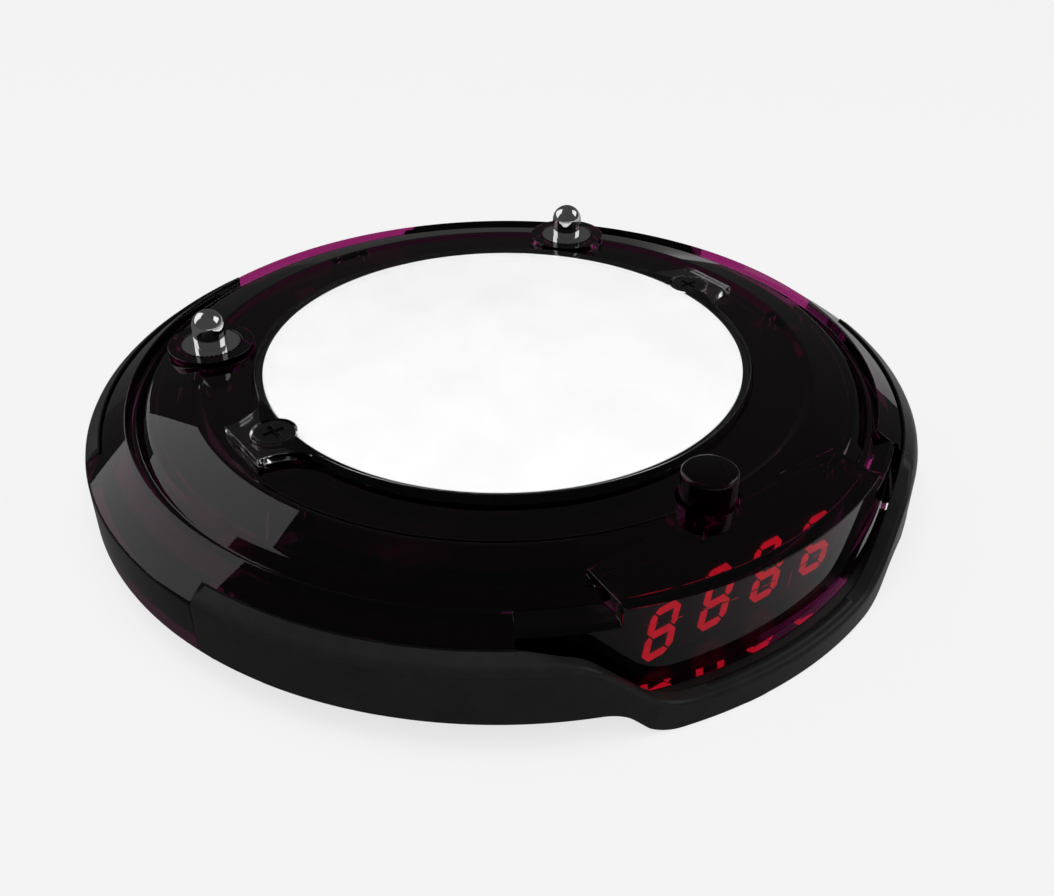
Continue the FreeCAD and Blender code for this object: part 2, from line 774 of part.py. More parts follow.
def make_label_cover():
    """A round plate with a low skirt round the label, and an ear with a screw hole at each side."""
    body = new_body("label_cover", z="cover_top")
    plate = sketch(body, "CoverPlate", "XY_Plane", circles=[("0", "0", "cover_radius")])
    extrude(body, "Pad", plate, "cover_top - land_height", turned_round=True)
    ears = sketch(body, "CoverEars", "XY_Plane", outlines=[[
        ("ear_end", "-ear_half_width"),
        ("ear_end", "ear_half_width"),
        ("-ear_end", "ear_half_width"),
        ("-ear_end", "-ear_half_width"),
    ]])
    extrude(body, "Pad", ears, "cover_top - land_height", turned_round=True)
    cover_radius = number("cover_radius")
    round_edges(
        body, "EarFlanks", "ear_fillet",
        lambda edge: on_radius(edge, cover_radius) and abs(edge.BoundBox.ZLength - edge.Length) < edge.Length / 100)
    skirt = sketch(body, "CoverSkirt", "XY_Plane", offset="land_height - cover_top", circles=[
        ("0", "0", "cover_radius")])
    extrude(body, "Pad", skirt, "land_height - recess_height", turned_round=True)
    hollow = sketch(body, "LabelRoom", "XY_Plane", offset="cover_under - cover_top", circles=[
        ("0", "0", "cover_radius - cover_skirt")])
    extrude(body, "Pocket", hollow, "cover_under - recess_height + overrun")
    holes = sketch(body, "EarHoles", "XY_Plane", circles=circles_at(EAR_PLACES, "ear_hole_radius"))
    extrude(body, "Pocket", holes, "cover_top - recess_height + overrun")
    seats = sketch(body, "EarSeats", "XY_Plane", circles=circles_at(EAR_PLACES, "ear_seat_radius"))
    extrude(body, "Pocket", seats, "ear_head_height")


def make_screw(name, x, y, seat, head_radius, head_height, shaft_radius, shaft_length, head_up):
    """A cross-head screw: its head stands on the seat and its shaft runs the other way."""
    body = new_body(name, x, y, seat)
    up = "" if head_up else "-"
    down = "-" if head_up else ""
    profile = sketch(body, f"{name}_profile", "XZ_Plane", outlines=[[
        ("0", f"{up}{head_height}"),
        (f"{head_radius} * head_crown_share", f"{up}{head_height}"),
        (head_radius, f"{up}{head_height} * head_edge_share"),
        (head_radius, "0"),
        (shaft_radius, "0"),
        (shaft_radius, f"{down}{shaft_length}"),
        ("0", f"{down}{shaft_length}"),
    ]])
    spin(body, "Revolution", profile)
    arm = f"{head_radius} * cross_reach_share"
    half = f"{head_radius} * cross_width_share / 2"
    cross = sketch(body, f"{name}_cross", "XY_Plane", offset=f"{up}{head_height}", outlines=[[
        (arm, f"-{half}"), (arm, half), (half, half), (half, arm), (f"-{half}", arm), (f"-{half}", half),
        (f"-{arm}", half), (f"-{arm}", f"-{half}"), (f"-{half}", f"-{half}"), (f"-{half}", f"-{arm}"),
        (half, f"-{arm}"), (half, f"-{half}"),
    ]])
    extrude(body, "Pocket", cross, f"{head_height} * cross_depth_share", turned_round=not head_up)


# ---------------------------------------------------------------------------------------------------------
# Charging pins
# ---------------------------------------------------------------------------------------------------------
def make_charge_pin(side, x, y):
    """A round-topped pin that stands on its collar, its thinner shank running down to the board."""
    body = new_body(f"charge_pin_{side}", x, y, "boss_top")
    profile = sketch(body, f"PinProfile_{side}", "XZ_Plane", outlines=[[
        ("0", "pin_shaft_height + pin_radius", "-pin_radius"),
        ("pin_radius", "pin_shaft_height"),
        ("pin_radius", "0"),
        ("pin_shank_radius", "0"),
        ("pin_shank_radius", "board_top - boss_top"),
        ("0", "board_top - boss_top"),
    ]])
    spin(body, "Revolution", profile)


def make_pin_collar(side, x, y):
    """A knurled ring let into the boss under the pin."""
    body = new_body(f"pin_collar_{side}", x, y, "collar_seat")
    teeth = int(number("collar_teeth"))
    steps = [(index + part) * 360 / teeth for index in range(teeth) for part in (0, 0.5)]
    radii = ["collar_radius", "(collar_radius - collar_tooth)"] * teeth
    outline = [(f"{radius} * cos({angle:g})", f"{radius} * sin({angle:g})") for radius, angle in zip(radii, steps)]
    face = sketch(
        body, f"CollarFace_{side}", "XY_Plane", outlines=[outline], circles=[("0", "0", "pin_shank_radius + running_gap")])
    extrude(body, "Pad", face, "collar_thickness")


def make_pin_nut(side, x, y):
    """A six-sided nut under the ceiling that holds the pin."""
    body = new_body(f"pin_nut_{side}", x, y, "ceiling_height")
    corners = [(f"nut_radius * cos({60 * index})", f"nut_radius * sin({60 * index})") for index in range(6)]
    face = sketch(
        body, f"NutFace_{side}", "XY_Plane", outlines=[corners], circles=[("0", "0", "pin_shank_radius + running_gap")])
    extrude(body, "Pad", face, "nut_thickness", turned_round=True)


# ---------------------------------------------------------------------------------------------------------
# Call button and switch
# ---------------------------------------------------------------------------------------------------------
def make_call_button():
    """A stud with a cross bar that stays under the ceiling and a stem that stands on the switch."""
    body = new_body("call_button", y="-button_place", z="button_top")
    cap = sketch(body, "ButtonCap", "XY_Plane", circles=[("0", "0", "button_radius")])
    extrude(body, "Pad", cap, "button_top - button_foot_top", turned_round=True)
    top_height = number("button_rounding")
    round_edges(body, "ButtonRounding", "button_rounding", lambda edge: abs(edge.CenterOfMass.z) < top_height / 10)
    bar = sketch(body, "ButtonBar", "XY_Plane", offset="button_foot_top - button_top", outlines=[[
        ("button_foot_half_length", "-button_foot_half_width"),
        ("button_foot_half_length", "button_foot_half_width"),
        ("-button_foot_half_length", "button_foot_half_width"),
        ("-button_foot_half_length", "-button_foot_half_width"),
    ]])
    extrude(body, "Pad", bar, "button_foot_thickness", turned_round=True)
    stem = sketch(body, "ButtonStem", "XY_Plane", offset="button_foot_base - button_top", circles=[
        ("0", "0", "button_foot_half_width")])
    extrude(body, "Pad", stem, "button_foot_base - plunger_top", turned_round=True)


def make_switch():
    """A square switch body with a bore, and the plunger that slides in it."""
    body = new_body("switch_body", y="-button_place", z="board_top")
    half = "switch_width / 2"
    face = sketch(body, "SwitchFace", "XY_Plane", outlines=[[
        (half, f"-{half}"), (half, half), (f"-{half}", half), (f"-{half}", f"-{half}"),
    ]])
    extrude(body, "Pad", face, "switch_height")
    bore = sketch(body, "SwitchBore", "XY_Plane", offset="switch_height", circles=[
        ("0", "0", "plunger_radius + running_gap")])
    extrude(body, "Pocket", bore, "switch_bore_depth")
    plunger = cylinder(
        "Plunger", "plunger_radius", "plunger_rise + plunger_depth", y="-button_place", z="switch_top - plunger_depth")
    as_node(plunger, "switch_plunger")


# ---------------------------------------------------------------------------------------------------------
# Display
# ---------------------------------------------------------------------------------------------------------
def make_display_module():
    body = new_body("display_module", y="-display_face", z="display_base")
    face = sketch(body, "DisplayFace", "XZ_Plane", outlines=[[
        ("display_half_width", "0"),
        ("display_half_width", "display_height"),
        ("-display_half_width", "display_height"),
        ("-display_half_width", "0"),
    ]])
    extrude(body, "Pad", face, "display_depth", turned_round=True)


def leaning(across, up):
    """A point of a digit, moved sideways by the digits' slant."""
    return f"({across}) + ({up}) * tan(digit_slant)", up


def level_bar(height):
    """A level segment at a height: a bar with pointed ends between the digit's two side lines."""
    half = "segment_width / 2"
    reach = "(digit_width / 2 - segment_width / 2 - segment_gap)"
    return [
        leaning(f"-{reach}", height),
        leaning(f"-{reach} + {half}", f"{height} - {half}"),
        leaning(f"{reach} - {half}", f"{height} - {half}"),
        leaning(reach, height),
        leaning(f"{reach} - {half}", f"{height} + {half}"),
        leaning(f"-{reach} + {half}", f"{height} + {half}"),
    ]


def upright_bar(side, low, high):
    """An upright segment beside the digit: a bar with pointed ends between two heights."""
    half = "segment_width / 2"
    line = f"{side}(digit_width / 2 - segment_width / 2)"
    return [
        leaning(line, f"{low} + segment_gap"),
        leaning(f"{line} + {half}", f"{low} + segment_gap + {half}"),
        leaning(f"{line} + {half}", f"{high} - segment_gap - {half}"),
        leaning(line, f"{high} - segment_gap"),
        leaning(f"{line} - {half}", f"{high} - segment_gap - {half}"),
        leaning(f"{line} - {half}", f"{low} + segment_gap + {half}"),
    ]


def make_digit(index):
    """One digit: seven thin bars on the display's face."""
    low = "(segment_width / 2)"
    middle = "(digit_height / 2)"
    high = "(digit_height - segment_width / 2)"
    bars = [level_bar(height) for height in (low, middle, high)]
    bars += [upright_bar(side, *ends) for side in ("-", "") for ends in ((low, middle), (middle, high))]
    drawing = doc.addObject("Sketcher::SketchObject", f"DigitFace_{index}")
    drawing.Placement.Rotation = Rotation(Vector(1, 0, 0), 90)
    for bar in bars:
        draw_outline(drawing, bar)
    solid = doc.addObject("Part::Extrusion", f"Digit_{index}")
    solid.Base = drawing
    solid.DirMode = "Normal"
    solid.Solid = True
    bind(solid, "LengthFwd", "digit_relief")
    place(solid, f"digit_pitch * ({index} - 2.5) - digit_height / 2 * tan(digit_slant)", "-display_face",
          "display_base + digit_base")
    as_node(solid, f"display_digit_{index}")


# ---------------------------------------------------------------------------------------------------------
# Bottom case
# ---------------------------------------------------------------------------------------------------------
def make_bottom_case():
    """A shallow tray with a spigot inside the cover's wall, a ledge for the board, bosses, feet and sockets."""
    body = new_body("bottom_case")
    profile = sketch(body, "CaseProfile", "XZ_Plane", outlines=[[
        ("0", "case_base_height"),
        ("case_base_radius", "case_base_height"),
        ("case_rim_radius", "rim_base_height"),
        ("spigot_radius", "rim_base_height"),
        ("spigot_radius", "spigot_top"),
        ("spigot_inner_radius", "spigot_top"),
        ("spigot_inner_radius", "board_base"),
        ("ledge_radius", "board_base"),
        ("ledge_radius", "floor_top"),
        ("0", "floor_top"),
    ]])
    spin(body, "Revolution", profile)
    relief = sketch(body, "CaseRelief", "XZ_Plane", turn="-90", outlines=[[
        ("spigot_inner_radius", "front_lip_top"),
        ("tool_radius", "front_lip_top"),
        ("tool_radius", "tool_top"),
        ("spigot_inner_radius", "tool_top"),
    ]])
    spin(body, "Groove", relief, "2 * case_relief_half_angle")
    lip = sketch(body, "FrontLip", "XZ_Plane", turn="-90", outlines=[[
        ("case_base_radius", "front_lip_base - front_lip_slope"),
        ("front_lip_radius", "front_lip_base"),
        ("front_lip_radius", "front_lip_top"),
        ("case_base_radius", "front_lip_top"),
    ]])
    spin(body, "Revolution", lip, "2 * shelf_half_angle")
    room = sketch(body, "CaseDisplayRoom", "XZ_Plane", offset="spigot_inner_radius", outlines=[[
        ("display_half_width + display_clearance", "floor_top"),
        ("display_half_width + display_clearance", "tool_top"),
        ("-(display_half_width + display_clearance)", "tool_top"),
        ("-(display_half_width + display_clearance)", "floor_top"),
    ]])
    extrude(body, "Pocket", room, "spigot_inner_radius - display_back + display_clearance")
    bosses = sketch(body, "CaseBosses", "XY_Plane", offset="floor_top", circles=circles_at(POST_PLACES, "post_radius"))
    extrude(body, "Pad", bosses, "case_boss_rise")
    sockets = sketch(
        body, "ContactSockets", "XY_Plane", offset="case_base_height",
        circles=circles_at(PIN_PLACES, "socket_radius + socket_wall"))
    extrude(body, "Pad", sockets, "board_base - case_base_height")
    mouths = sketch(
        body, "SocketMouths", "XY_Plane", offset="board_base", circles=circles_at(PIN_PLACES, "socket_radius"))
    extrude(body, "Pocket", mouths, "board_base")
    contact_seats = sketch(
        body, "ContactSeats", "XY_Plane", offset="board_base",
        circles=circles_at(PIN_PLACES, "contact_radius + fit_gap"))
    extrude(body, "Pocket", contact_seats, "contact_thickness")
    holes = sketch(
        body, "CaseScrewHoles", "XY_Plane", offset="case_boss_top",
        circles=circles_at(POST_PLACES, "case_screw_radius + fit_gap"))
    extrude(body, "Pocket", holes, "case_boss_top")
    seats = sketch(
        body, "CaseScrewSeats", "XY_Plane", offset="floor_top",
        circles=circles_at(POST_PLACES, "case_screw_head_radius + 2 * fit_gap"))
    extrude(body, "Pocket", seats, "floor_top")
    feet = sketch(
        body, "FootRecesses", "XY_Plane", offset="foot_top", circles=circles_at(FOOT_PLACES, "foot_radius"))
    extrude(body, "Pocket", feet, "foot_top")


def make_feet_and_contacts():
    """Round rubber feet under the floor, and round contacts under the board above their sockets."""
    for index, (x, y) in enumerate(FOOT_PLACES, start=1):
        as_node(cylinder(f"Foot_{index}", "foot_radius", "foot_top", x, y), f"rubber_foot_{index}")
    for side, (x, y) in zip(SIDES, PIN_PLACES):
        contact = cylinder(f"Contact_{side}", "contact_radius", "contact_thickness", x, y, "contact_base")
        as_node(contact, f"charge_contact_{side}")


# ---------------------------------------------------------------------------------------------------------
# Main board and what stands on it
# ---------------------------------------------------------------------------------------------------------
def make_main_board():
    """A round board, cut straight in front where the display stands, with holes for the cover's posts."""
    body = new_body("main_board", z="board_base")
    chord = "sqrt(board_radius * board_radius - display_back * display_back)"
    face = sketch(body, "BoardFace", "XY_Plane", circles=[("0", "0", "board_radius")])
    extrude(body, "Pad", face, "board_thickness")
    front = sketch(body, "BoardFront", "XY_Plane", offset="board_thickness", outlines=[[
        (f"{chord} + overrun", "-display_back"),
        (f"-{chord} - overrun", "-display_back"),
        (f"-{chord} - overrun", "-rim_radius"),
        (f"{chord} + overrun", "-rim_radius"),
    ]])
    extrude(body, "Pocket", front, "board_thickness + overrun")
    holes = sketch(
        body, "BoardHoles", "XY_Plane", offset="board_thickness",
        circles=circles_at(POST_PLACES, "post_radius + display_clearance"))
    extrude(body, "Pocket", holes, "board_thickness + overrun")


def stand_box(name, label, length, width, height, x, y, z="board_top"):
    """A plain box on the board as a sub-part."""
    item = box(name, length, width, height)
    place_box(item, length, width, x, y, z)
    return as_node(item, label)


def make_rim_lights():
    """Pairs of lights behind the bare stretches of rim, at both sides and the back."""
    directions = [f"{middle} {sign} led_spread_angle" for middle in (0, 90, 180) for sign in "-+"]
    for index, direction in enumerate(directions, start=1):
        stand_box(
            f"Led_{index}", f"rim_led_{index}", "led_width", "led_width", "led_height",
            f"led_ring_radius * cos({direction})", f"led_ring_radius * sin({direction})")


def make_battery():
    """A flat battery on a pad in the middle of the board."""
    stand_box(
        "Pad", "battery_pad", "battery_length - 2 * pad_margin", "battery_width - 2 * pad_margin", "pad_thickness",
        "0", "battery_offset")
    body = new_body("battery", y="battery_offset", z="board_top + pad_thickness")
    face = sketch(body, "BatteryFace", "XY_Plane", outlines=[[
        ("battery_length / 2", "-battery_width / 2"),
        ("battery_length / 2", "battery_width / 2"),
        ("-battery_length / 2", "battery_width / 2"),
        ("-battery_length / 2", "-battery_width / 2"),
    ]])
    extrude(body, "Pad", face, "battery_thickness")
    thickness = number("battery_thickness")
    round_edges(
        body, "BatteryRounding", "battery_rounding",
        lambda edge: abs(edge.BoundBox.ZLength - thickness) < thickness / 100)


def make_chips_and_buzzer():
    stand_box(
        "Chip", "controller_chip", "chip_width", "chip_width", "chip_height", "chip_offset", "chip_setback")
    stand_box("Can", "radio_can", "can_length", "can_width", "can_height", "-chip_offset", "chip_setback")
    drum = cylinder("Drum", "buzzer_radius", "buzzer_height", "buzzer_x", "buzzer_y", "board_top")
    mouth = cylinder(
        "DrumMouth", "buzzer_hole_radius", "buzzer_height", "buzzer_x", "buzzer_y",
        "board_top + buzzer_height / 2")
    as_node(cut("Buzzer", drum, mouth), "buzzer")


def make_motor():
    """A small motor lying in a clamp, with a half-round weight on its shaft."""
    can = cylinder(
        "MotorCan", "motor_radius", "motor_length", "-motor_offset - motor_length / 2", "-motor_setback",
        "motor_axis_height")
    bore = cylinder(
        "MotorBore", "motor_shaft_radius + running_gap", "motor_shaft_depth + overrun",
        "-motor_end - motor_shaft_depth", "-motor_setback", "motor_axis_height")
    shaft = cylinder(
        "MotorShaft", "motor_shaft_radius", "motor_end - weight_end + motor_shaft_depth - running_gap",
        "-motor_end - motor_shaft_depth + running_gap", "-motor_setback", "motor_axis_height")
    weight = cylinder(
        "WeightRound", "weight_radius", "weight_length", "-weight_start", "-motor_setback", "motor_axis_height")
    weight.Angle = 180
    weight_bore = cylinder(
        "WeightBore", "motor_shaft_radius", "weight_length + 2 * overrun", "-weight_start - overrun",
        "-motor_setback", "motor_axis_height")
    bed = cylinder(
        "ClampBed", "motor_radius + running_gap", "clamp_length + 2 * overrun",
        "-motor_offset - clamp_length / 2 - overrun", "-motor_setback", "motor_axis_height")
    for item in (can, bore, shaft, weight_bore, bed):
        lay_along_x(item)
    weight.Placement.Rotation = Rotation(Vector(0, 1, 0), 90) * Rotation(Vector(0, 0, 1), -90)
    block_width = "2 * (motor_radius + clamp_wall)"
    block = box("ClampBlock", "clamp_length", block_width, "motor_lift + motor_radius")
    place_box(block, "clamp_length", block_width, "-motor_offset", "-motor_setback", "board_top")
    as_node(cut("Motor", can, bore), "vibration_motor")
    as_node(shaft, "motor_shaft")
    as_node(cut("Weight", weight, weight_bore), "motor_weight")
    as_node(cut("Clamp", block, bed), "motor_clamp")


# ---------------------------------------------------------------------------------------------------------
# The whole pager
# ---------------------------------------------------------------------------------------------------------
def check_document():
    """Stop if any object failed, any cut removed nothing, or any sub-part has no sound shape."""
    for item in doc.Objects:
        if {"Invalid", "Error"} & set(item.State):
            raise RuntimeError(f"{item.Label} failed: {item.State}")
        if item.TypeId in ("PartDesign::Pocket", "PartDesign::Groove"):
            if item.Shape.Volume >= item.BaseFeature.Shape.Volume:
                raise RuntimeError(f"{item.Label} cuts nothing")
    for item in nodes:
        if item.Shape.isNull() or not item.Shape.isValid():
            raise RuntimeError(f"{item.Label} has no sound shape")


def write_parts():
    """One STEP file for each sub-part."""
    os.makedirs("parts", exist_ok=True)
    for item in nodes:
        item.Shape.exportStep(os.path.join("parts", f"{item.Label}.step"))
        print(f"{item.Label}: {len(item.Shape.Solids)} solid(s), {item.Shape.Volume:.1f} mm3")


fill_sheet()
make_top_cover()
make_front_bumper()
bumper_band("rear_right_bumper", "45", "90 - 2 * rim_window_half_angle")
bumper_band("rear_left_bumper", "135", "90 - 2 * rim_window_half_angle")
make_label_disc()
make_label_cover()
for side, (x, y) in zip(SIDES, EAR_PLACES):
    make_screw(f"label_screw_{side}", x, y, "ear_screw_seat", "ear_head_radius", "ear_head_height",
               "ear_screw_radius", "ear_screw_length", head_up=True)
for side, (x, y) in zip(SIDES, PIN_PLACES):
    make_charge_pin(side, x, y)
    make_pin_collar(side, x, y)
    make_pin_nut(side, x, y)
make_call_button()
make_switch()
make_display_module()
for index in range(1, 5):
    make_digit(index)
make_bottom_case()
for index, (x, y) in enumerate(POST_PLACES, start=1):
    make_screw(f"case_screw_{index}", x, y, "floor_top", "case_screw_head_radius", "case_screw_head_height",
               "case_screw_radius", "case_screw_length", head_up=False)
make_feet_and_contacts()
make_main_board()
make_rim_lights()
make_battery()
make_chips_and_buzzer()
make_motor()
doc.recompute()
check_document()
write_parts()
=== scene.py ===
"""The guest pager as it looks in its photo: plum see-through housing, white label, pins, red digits."""

import json
import math

import bmesh
import bpy
from mathutils import Matrix, Vector


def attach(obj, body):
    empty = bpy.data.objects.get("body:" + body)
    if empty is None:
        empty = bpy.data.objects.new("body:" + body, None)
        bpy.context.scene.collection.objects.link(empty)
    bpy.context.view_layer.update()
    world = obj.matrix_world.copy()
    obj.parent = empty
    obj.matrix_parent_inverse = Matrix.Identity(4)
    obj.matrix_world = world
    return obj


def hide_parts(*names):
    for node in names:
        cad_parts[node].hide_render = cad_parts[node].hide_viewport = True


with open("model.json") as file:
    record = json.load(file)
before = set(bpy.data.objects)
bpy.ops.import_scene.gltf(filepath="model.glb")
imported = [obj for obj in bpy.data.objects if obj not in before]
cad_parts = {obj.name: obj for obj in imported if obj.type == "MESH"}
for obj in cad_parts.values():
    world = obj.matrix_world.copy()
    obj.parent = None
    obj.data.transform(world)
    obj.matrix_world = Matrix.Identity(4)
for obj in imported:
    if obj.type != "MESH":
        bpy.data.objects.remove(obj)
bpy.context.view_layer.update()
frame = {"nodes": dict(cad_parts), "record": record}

MM = 0.001

# Sizes in millimetres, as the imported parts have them
RIM_RADIUS = 52.0
WALL_RADIUS = 50.0
WALL_INNER_RADIUS = 48.2
WINDOW_RADIUS = 49.0
WINDOW_INNER_RADIUS = 47.0
WINDOW_BASE = 3.1
RIM_BASE = 4.0
RIM_TOP = 10.4
CHAMFER_SLOPE = 3.7 / 5.3
BUMPER_LIP = 0.35
BUMPER_ROUNDING = 0.7
CHIN_TOP = 3.2
RIM_WINDOW_HALF_ANGLE = 17.0
SHELF_HALF_ANGLE = 34.5
VISOR_FRONT_HEIGHT = 14.54
VISOR_TILT = 4.0
VISOR_DEPTH = 2.0
VISOR_PLATE = 0.9
VISOR_BACK = 36.5
VISOR_BACK_HALF_WIDTH = 17.7
VISOR_FRONT_HALF_WIDTH = 18.6
GROOVE_RADIUS = 45.6
GROOVE_BASE = 12.9
LAND_EDGE = 31.5
CEILING = 13.3
RECESS = 14.9
LAND = 15.2
COVER_TOP = 16.3
BOSS_TOP = 16.2
PIN_PLACES = ((-29.09, 23.98), (29.09, 23.98))
EAR_PLACES = ((-32.1, 0.0), (32.1, 0.0))
BUTTON_PLACE = (0.0, -37.35)
SEAT_GAP = 0.03

# Directions in degrees from +X towards +Y, and how far the bumpers reach round the rim
FRONT = -90.0
REAR_LEFT = 135.0
REAR_RIGHT = 45.0
POST_ANGLES = (90.0, -20.0, 200.0)
REAR_SWEEP = 90.0 - 2 * RIM_WINDOW_HALF_ANGLE
FRONT_SWEEP = 180.0 - 2 * RIM_WINDOW_HALF_ANGLE

# The housing's wall from the table up and inwards: radius, height and the rounding of each corner
HOUSING_PROFILE = (
    (WALL_INNER_RADIUS, RIM_BASE, 0.0),
    (RIM_RADIUS, RIM_BASE, 0.2),
    (RIM_RADIUS, RIM_TOP, 0.3),
    (46.7, 14.1, 0.22),
    (46.2, GROOVE_BASE, 0.12),
    (GROOVE_RADIUS, GROOVE_BASE, 0.12),
    (44.15, 14.15, 0.35),
    (38.6, 15.6, 0.4),
    (37.6, LAND, 0.2),
    (LAND_EDGE, LAND, 0.08),
    (LAND_EDGE, RECESS, 0.0),
    (0.0, RECESS, 0.0),
    (0.0, CEILING, 0.0),
    (42.93, CEILING, 0.3),
    (44.7, 11.7, 0.3),
    (46.2, 11.7, 0.2),
    (WALL_INNER_RADIUS, 10.3, 0.2),
)


# Finishes
SOLID_IOR = 1.45
CLEAR_IOR = 1.42
SOLID_GRAIN = 400.0
TONE_GRAIN = 90.0
SHEEN_GRAIN = 60.0
NOISE_DETAIL = 3.0
NOISE_SPREAD = (0.3, 0.7)
RELIEF_STRENGTH = 0.35
PALE = (0.868, 0.868, 0.868, 1.0)
DIM = (0.06, 0.06, 0.06, 1.0)


def new_finish(name):
    """A material with an empty node tree and its output."""
    material = bpy.data.materials.new(name)
    material.use_nodes = True
    tree = material.node_tree
    tree.nodes.clear()
    return material, tree, tree.nodes.new("ShaderNodeOutputMaterial")


def grain(tree, scale, low, high):
    """Fine unevenness on Object coordinates, as a value between low and high."""
    place = tree.nodes.new("ShaderNodeTexCoord")
    noise = tree.nodes.new("ShaderNodeTexNoise")
    noise.inputs["Scale"].default_value = scale
    noise.inputs["Detail"].default_value = NOISE_DETAIL
    spread = tree.nodes.new("ShaderNodeMapRange")
    spread.inputs["From Min"].default_value, spread.inputs["From Max"].default_value = NOISE_SPREAD
    spread.inputs["To Min"].default_value = low
    spread.inputs["To Max"].default_value = high
    tree.links.new(place.outputs["Object"], noise.inputs["Vector"])
    tree.links.new(noise.outputs["Fac"], spread.inputs["Value"])
    return spread.outputs["Result"]


def two_tones(tree, colour, darker, scale):
    """A colour that wanders between two close tones."""
    tones = tree.nodes.new("ShaderNodeMix")
    tones.data_type = "RGBA"
    tones.inputs["A"].default_value = (*colour, 1.0)
    tones.inputs["B"].default_value = (*darker, 1.0)
    tree.links.new(grain(tree, scale, 0.0, 1.0), tones.inputs["Factor"])
    return tones.outputs["Result"]


def surface(name, colour, darker, roughness, metallic=0.0, bump=0.0, specular=0.5):
    """A solid finish: its colour wanders between two close tones, its roughness with it."""
    material, tree, output = new_finish(name)
    shader = tree.nodes.new("ShaderNodeBsdfPrincipled")
    shader.inputs["Metallic"].default_value = metallic
    shader.inputs["IOR"].default_value = SOLID_IOR
    shader.inputs["Specular IOR Level"].default_value = specular
    tree.links.new(two_tones(tree, colour, darker, SOLID_GRAIN), shader.inputs["Base Color"])
    tree.links.new(grain(tree, SOLID_GRAIN * 0.4, *roughness), shader.inputs["Roughness"])
    if bump:
        relief = tree.nodes.new("ShaderNodeBump")
        relief.inputs["Strength"].default_value = RELIEF_STRENGTH
        relief.inputs["Distance"].default_value = bump
        tree.links.new(grain(tree, SOLID_GRAIN * 5.0, 0.0, 1.0), relief.inputs["Height"])
        tree.links.new(relief.outputs["Normal"], shader.inputs["Normal"])
    tree.links.new(shader.outputs["BSDF"], output.inputs["Surface"])
    return material


def see_through(name, colour, shade, roughness):
    """A see-through moulding. Light on its way to a dull surface goes straight through it."""
    material, tree, output = new_finish(name)
    shader = tree.nodes.new("ShaderNodeBsdfPrincipled")
    shader.inputs["Transmission Weight"].default_value = 1.0
    shader.inputs["IOR"].default_value = CLEAR_IOR
    darker = [0.95 * part for part in colour]
    tree.links.new(two_tones(tree, colour, darker, TONE_GRAIN), shader.inputs["Base Color"])
    tree.links.new(grain(tree, SHEEN_GRAIN, *roughness), shader.inputs["Roughness"])
    clear = tree.nodes.new("ShaderNodeBsdfTransparent")
    clear.inputs["Color"].default_value = (*shade, 1.0)
    path = tree.nodes.new("ShaderNodeLightPath")
    either = tree.nodes.new("ShaderNodeMath")
    either.operation = "MAXIMUM"
    tree.links.new(path.outputs["Is Shadow Ray"], either.inputs[0])
    tree.links.new(path.outputs["Is Diffuse Ray"], either.inputs[1])
    choice = tree.nodes.new("ShaderNodeMixShader")
    tree.links.new(either.outputs["Value"], choice.inputs["Fac"])
    tree.links.new(shader.outputs["BSDF"], choice.inputs[1])
    tree.links.new(clear.outputs["BSDF"], choice.inputs[2])
    tree.links.new(choice.outputs["Shader"], output.inputs["Surface"])
    return material


def thin_plastic(name, tint):
    """The same moulding where it is a plain wall: straight see-through, with a mirror sheen outside."""
    material, tree, output = new_finish(name)
    clear = tree.nodes.new("ShaderNodeBsdfTransparent")
    darker = [0.96 * part for part in tint]
    tree.links.new(two_tones(tree, tint, darker, TONE_GRAIN), clear.inputs["Color"])
    sheen = tree.nodes.new("ShaderNodeBsdfGlossy")
    tree.links.new(grain(tree, SHEEN_GRAIN, 0.01, 0.02), sheen.inputs["Roughness"])
    fresnel = tree.nodes.new("ShaderNodeFresnel")
    fresnel.inputs["IOR"].default_value = CLEAR_IOR
    side = tree.nodes.new("ShaderNodeNewGeometry")
    outside = tree.nodes.new("ShaderNodeMath")
    outside.operation = "SUBTRACT"
    outside.inputs[0].default_value = 1.0
    share = tree.nodes.new("ShaderNodeMath")
    share.operation = "MULTIPLY"
    mix = tree.nodes.new("ShaderNodeMixShader")
    tree.links.new(side.outputs["Backfacing"], outside.inputs[1])
    tree.links.new(outside.outputs["Value"], share.inputs[0])
    tree.links.new(fresnel.outputs["Fac"], share.inputs[1])
    tree.links.new(share.outputs["Value"], mix.inputs["Fac"])
    tree.links.new(clear.outputs["BSDF"], mix.inputs[1])
    tree.links.new(sheen.outputs["BSDF"], mix.inputs[2])
    tree.links.new(mix.outputs["Shader"], output.inputs["Surface"])
    return material


def glowing(name, colour, strength):
    """A lit digit bar, its brightness wandering a little from place to place."""
    material, tree, output = new_finish(name)
    glow = tree.nodes.new("ShaderNodeEmission")
    glow.inputs["Color"].default_value = (*colour, 1.0)
    tree.links.new(grain(tree, 700.0, 0.9 * strength, 1.1 * strength), glow.inputs["Strength"])
    tree.links.new(glow.outputs["Emission"], output.inputs["Surface"])
    return material


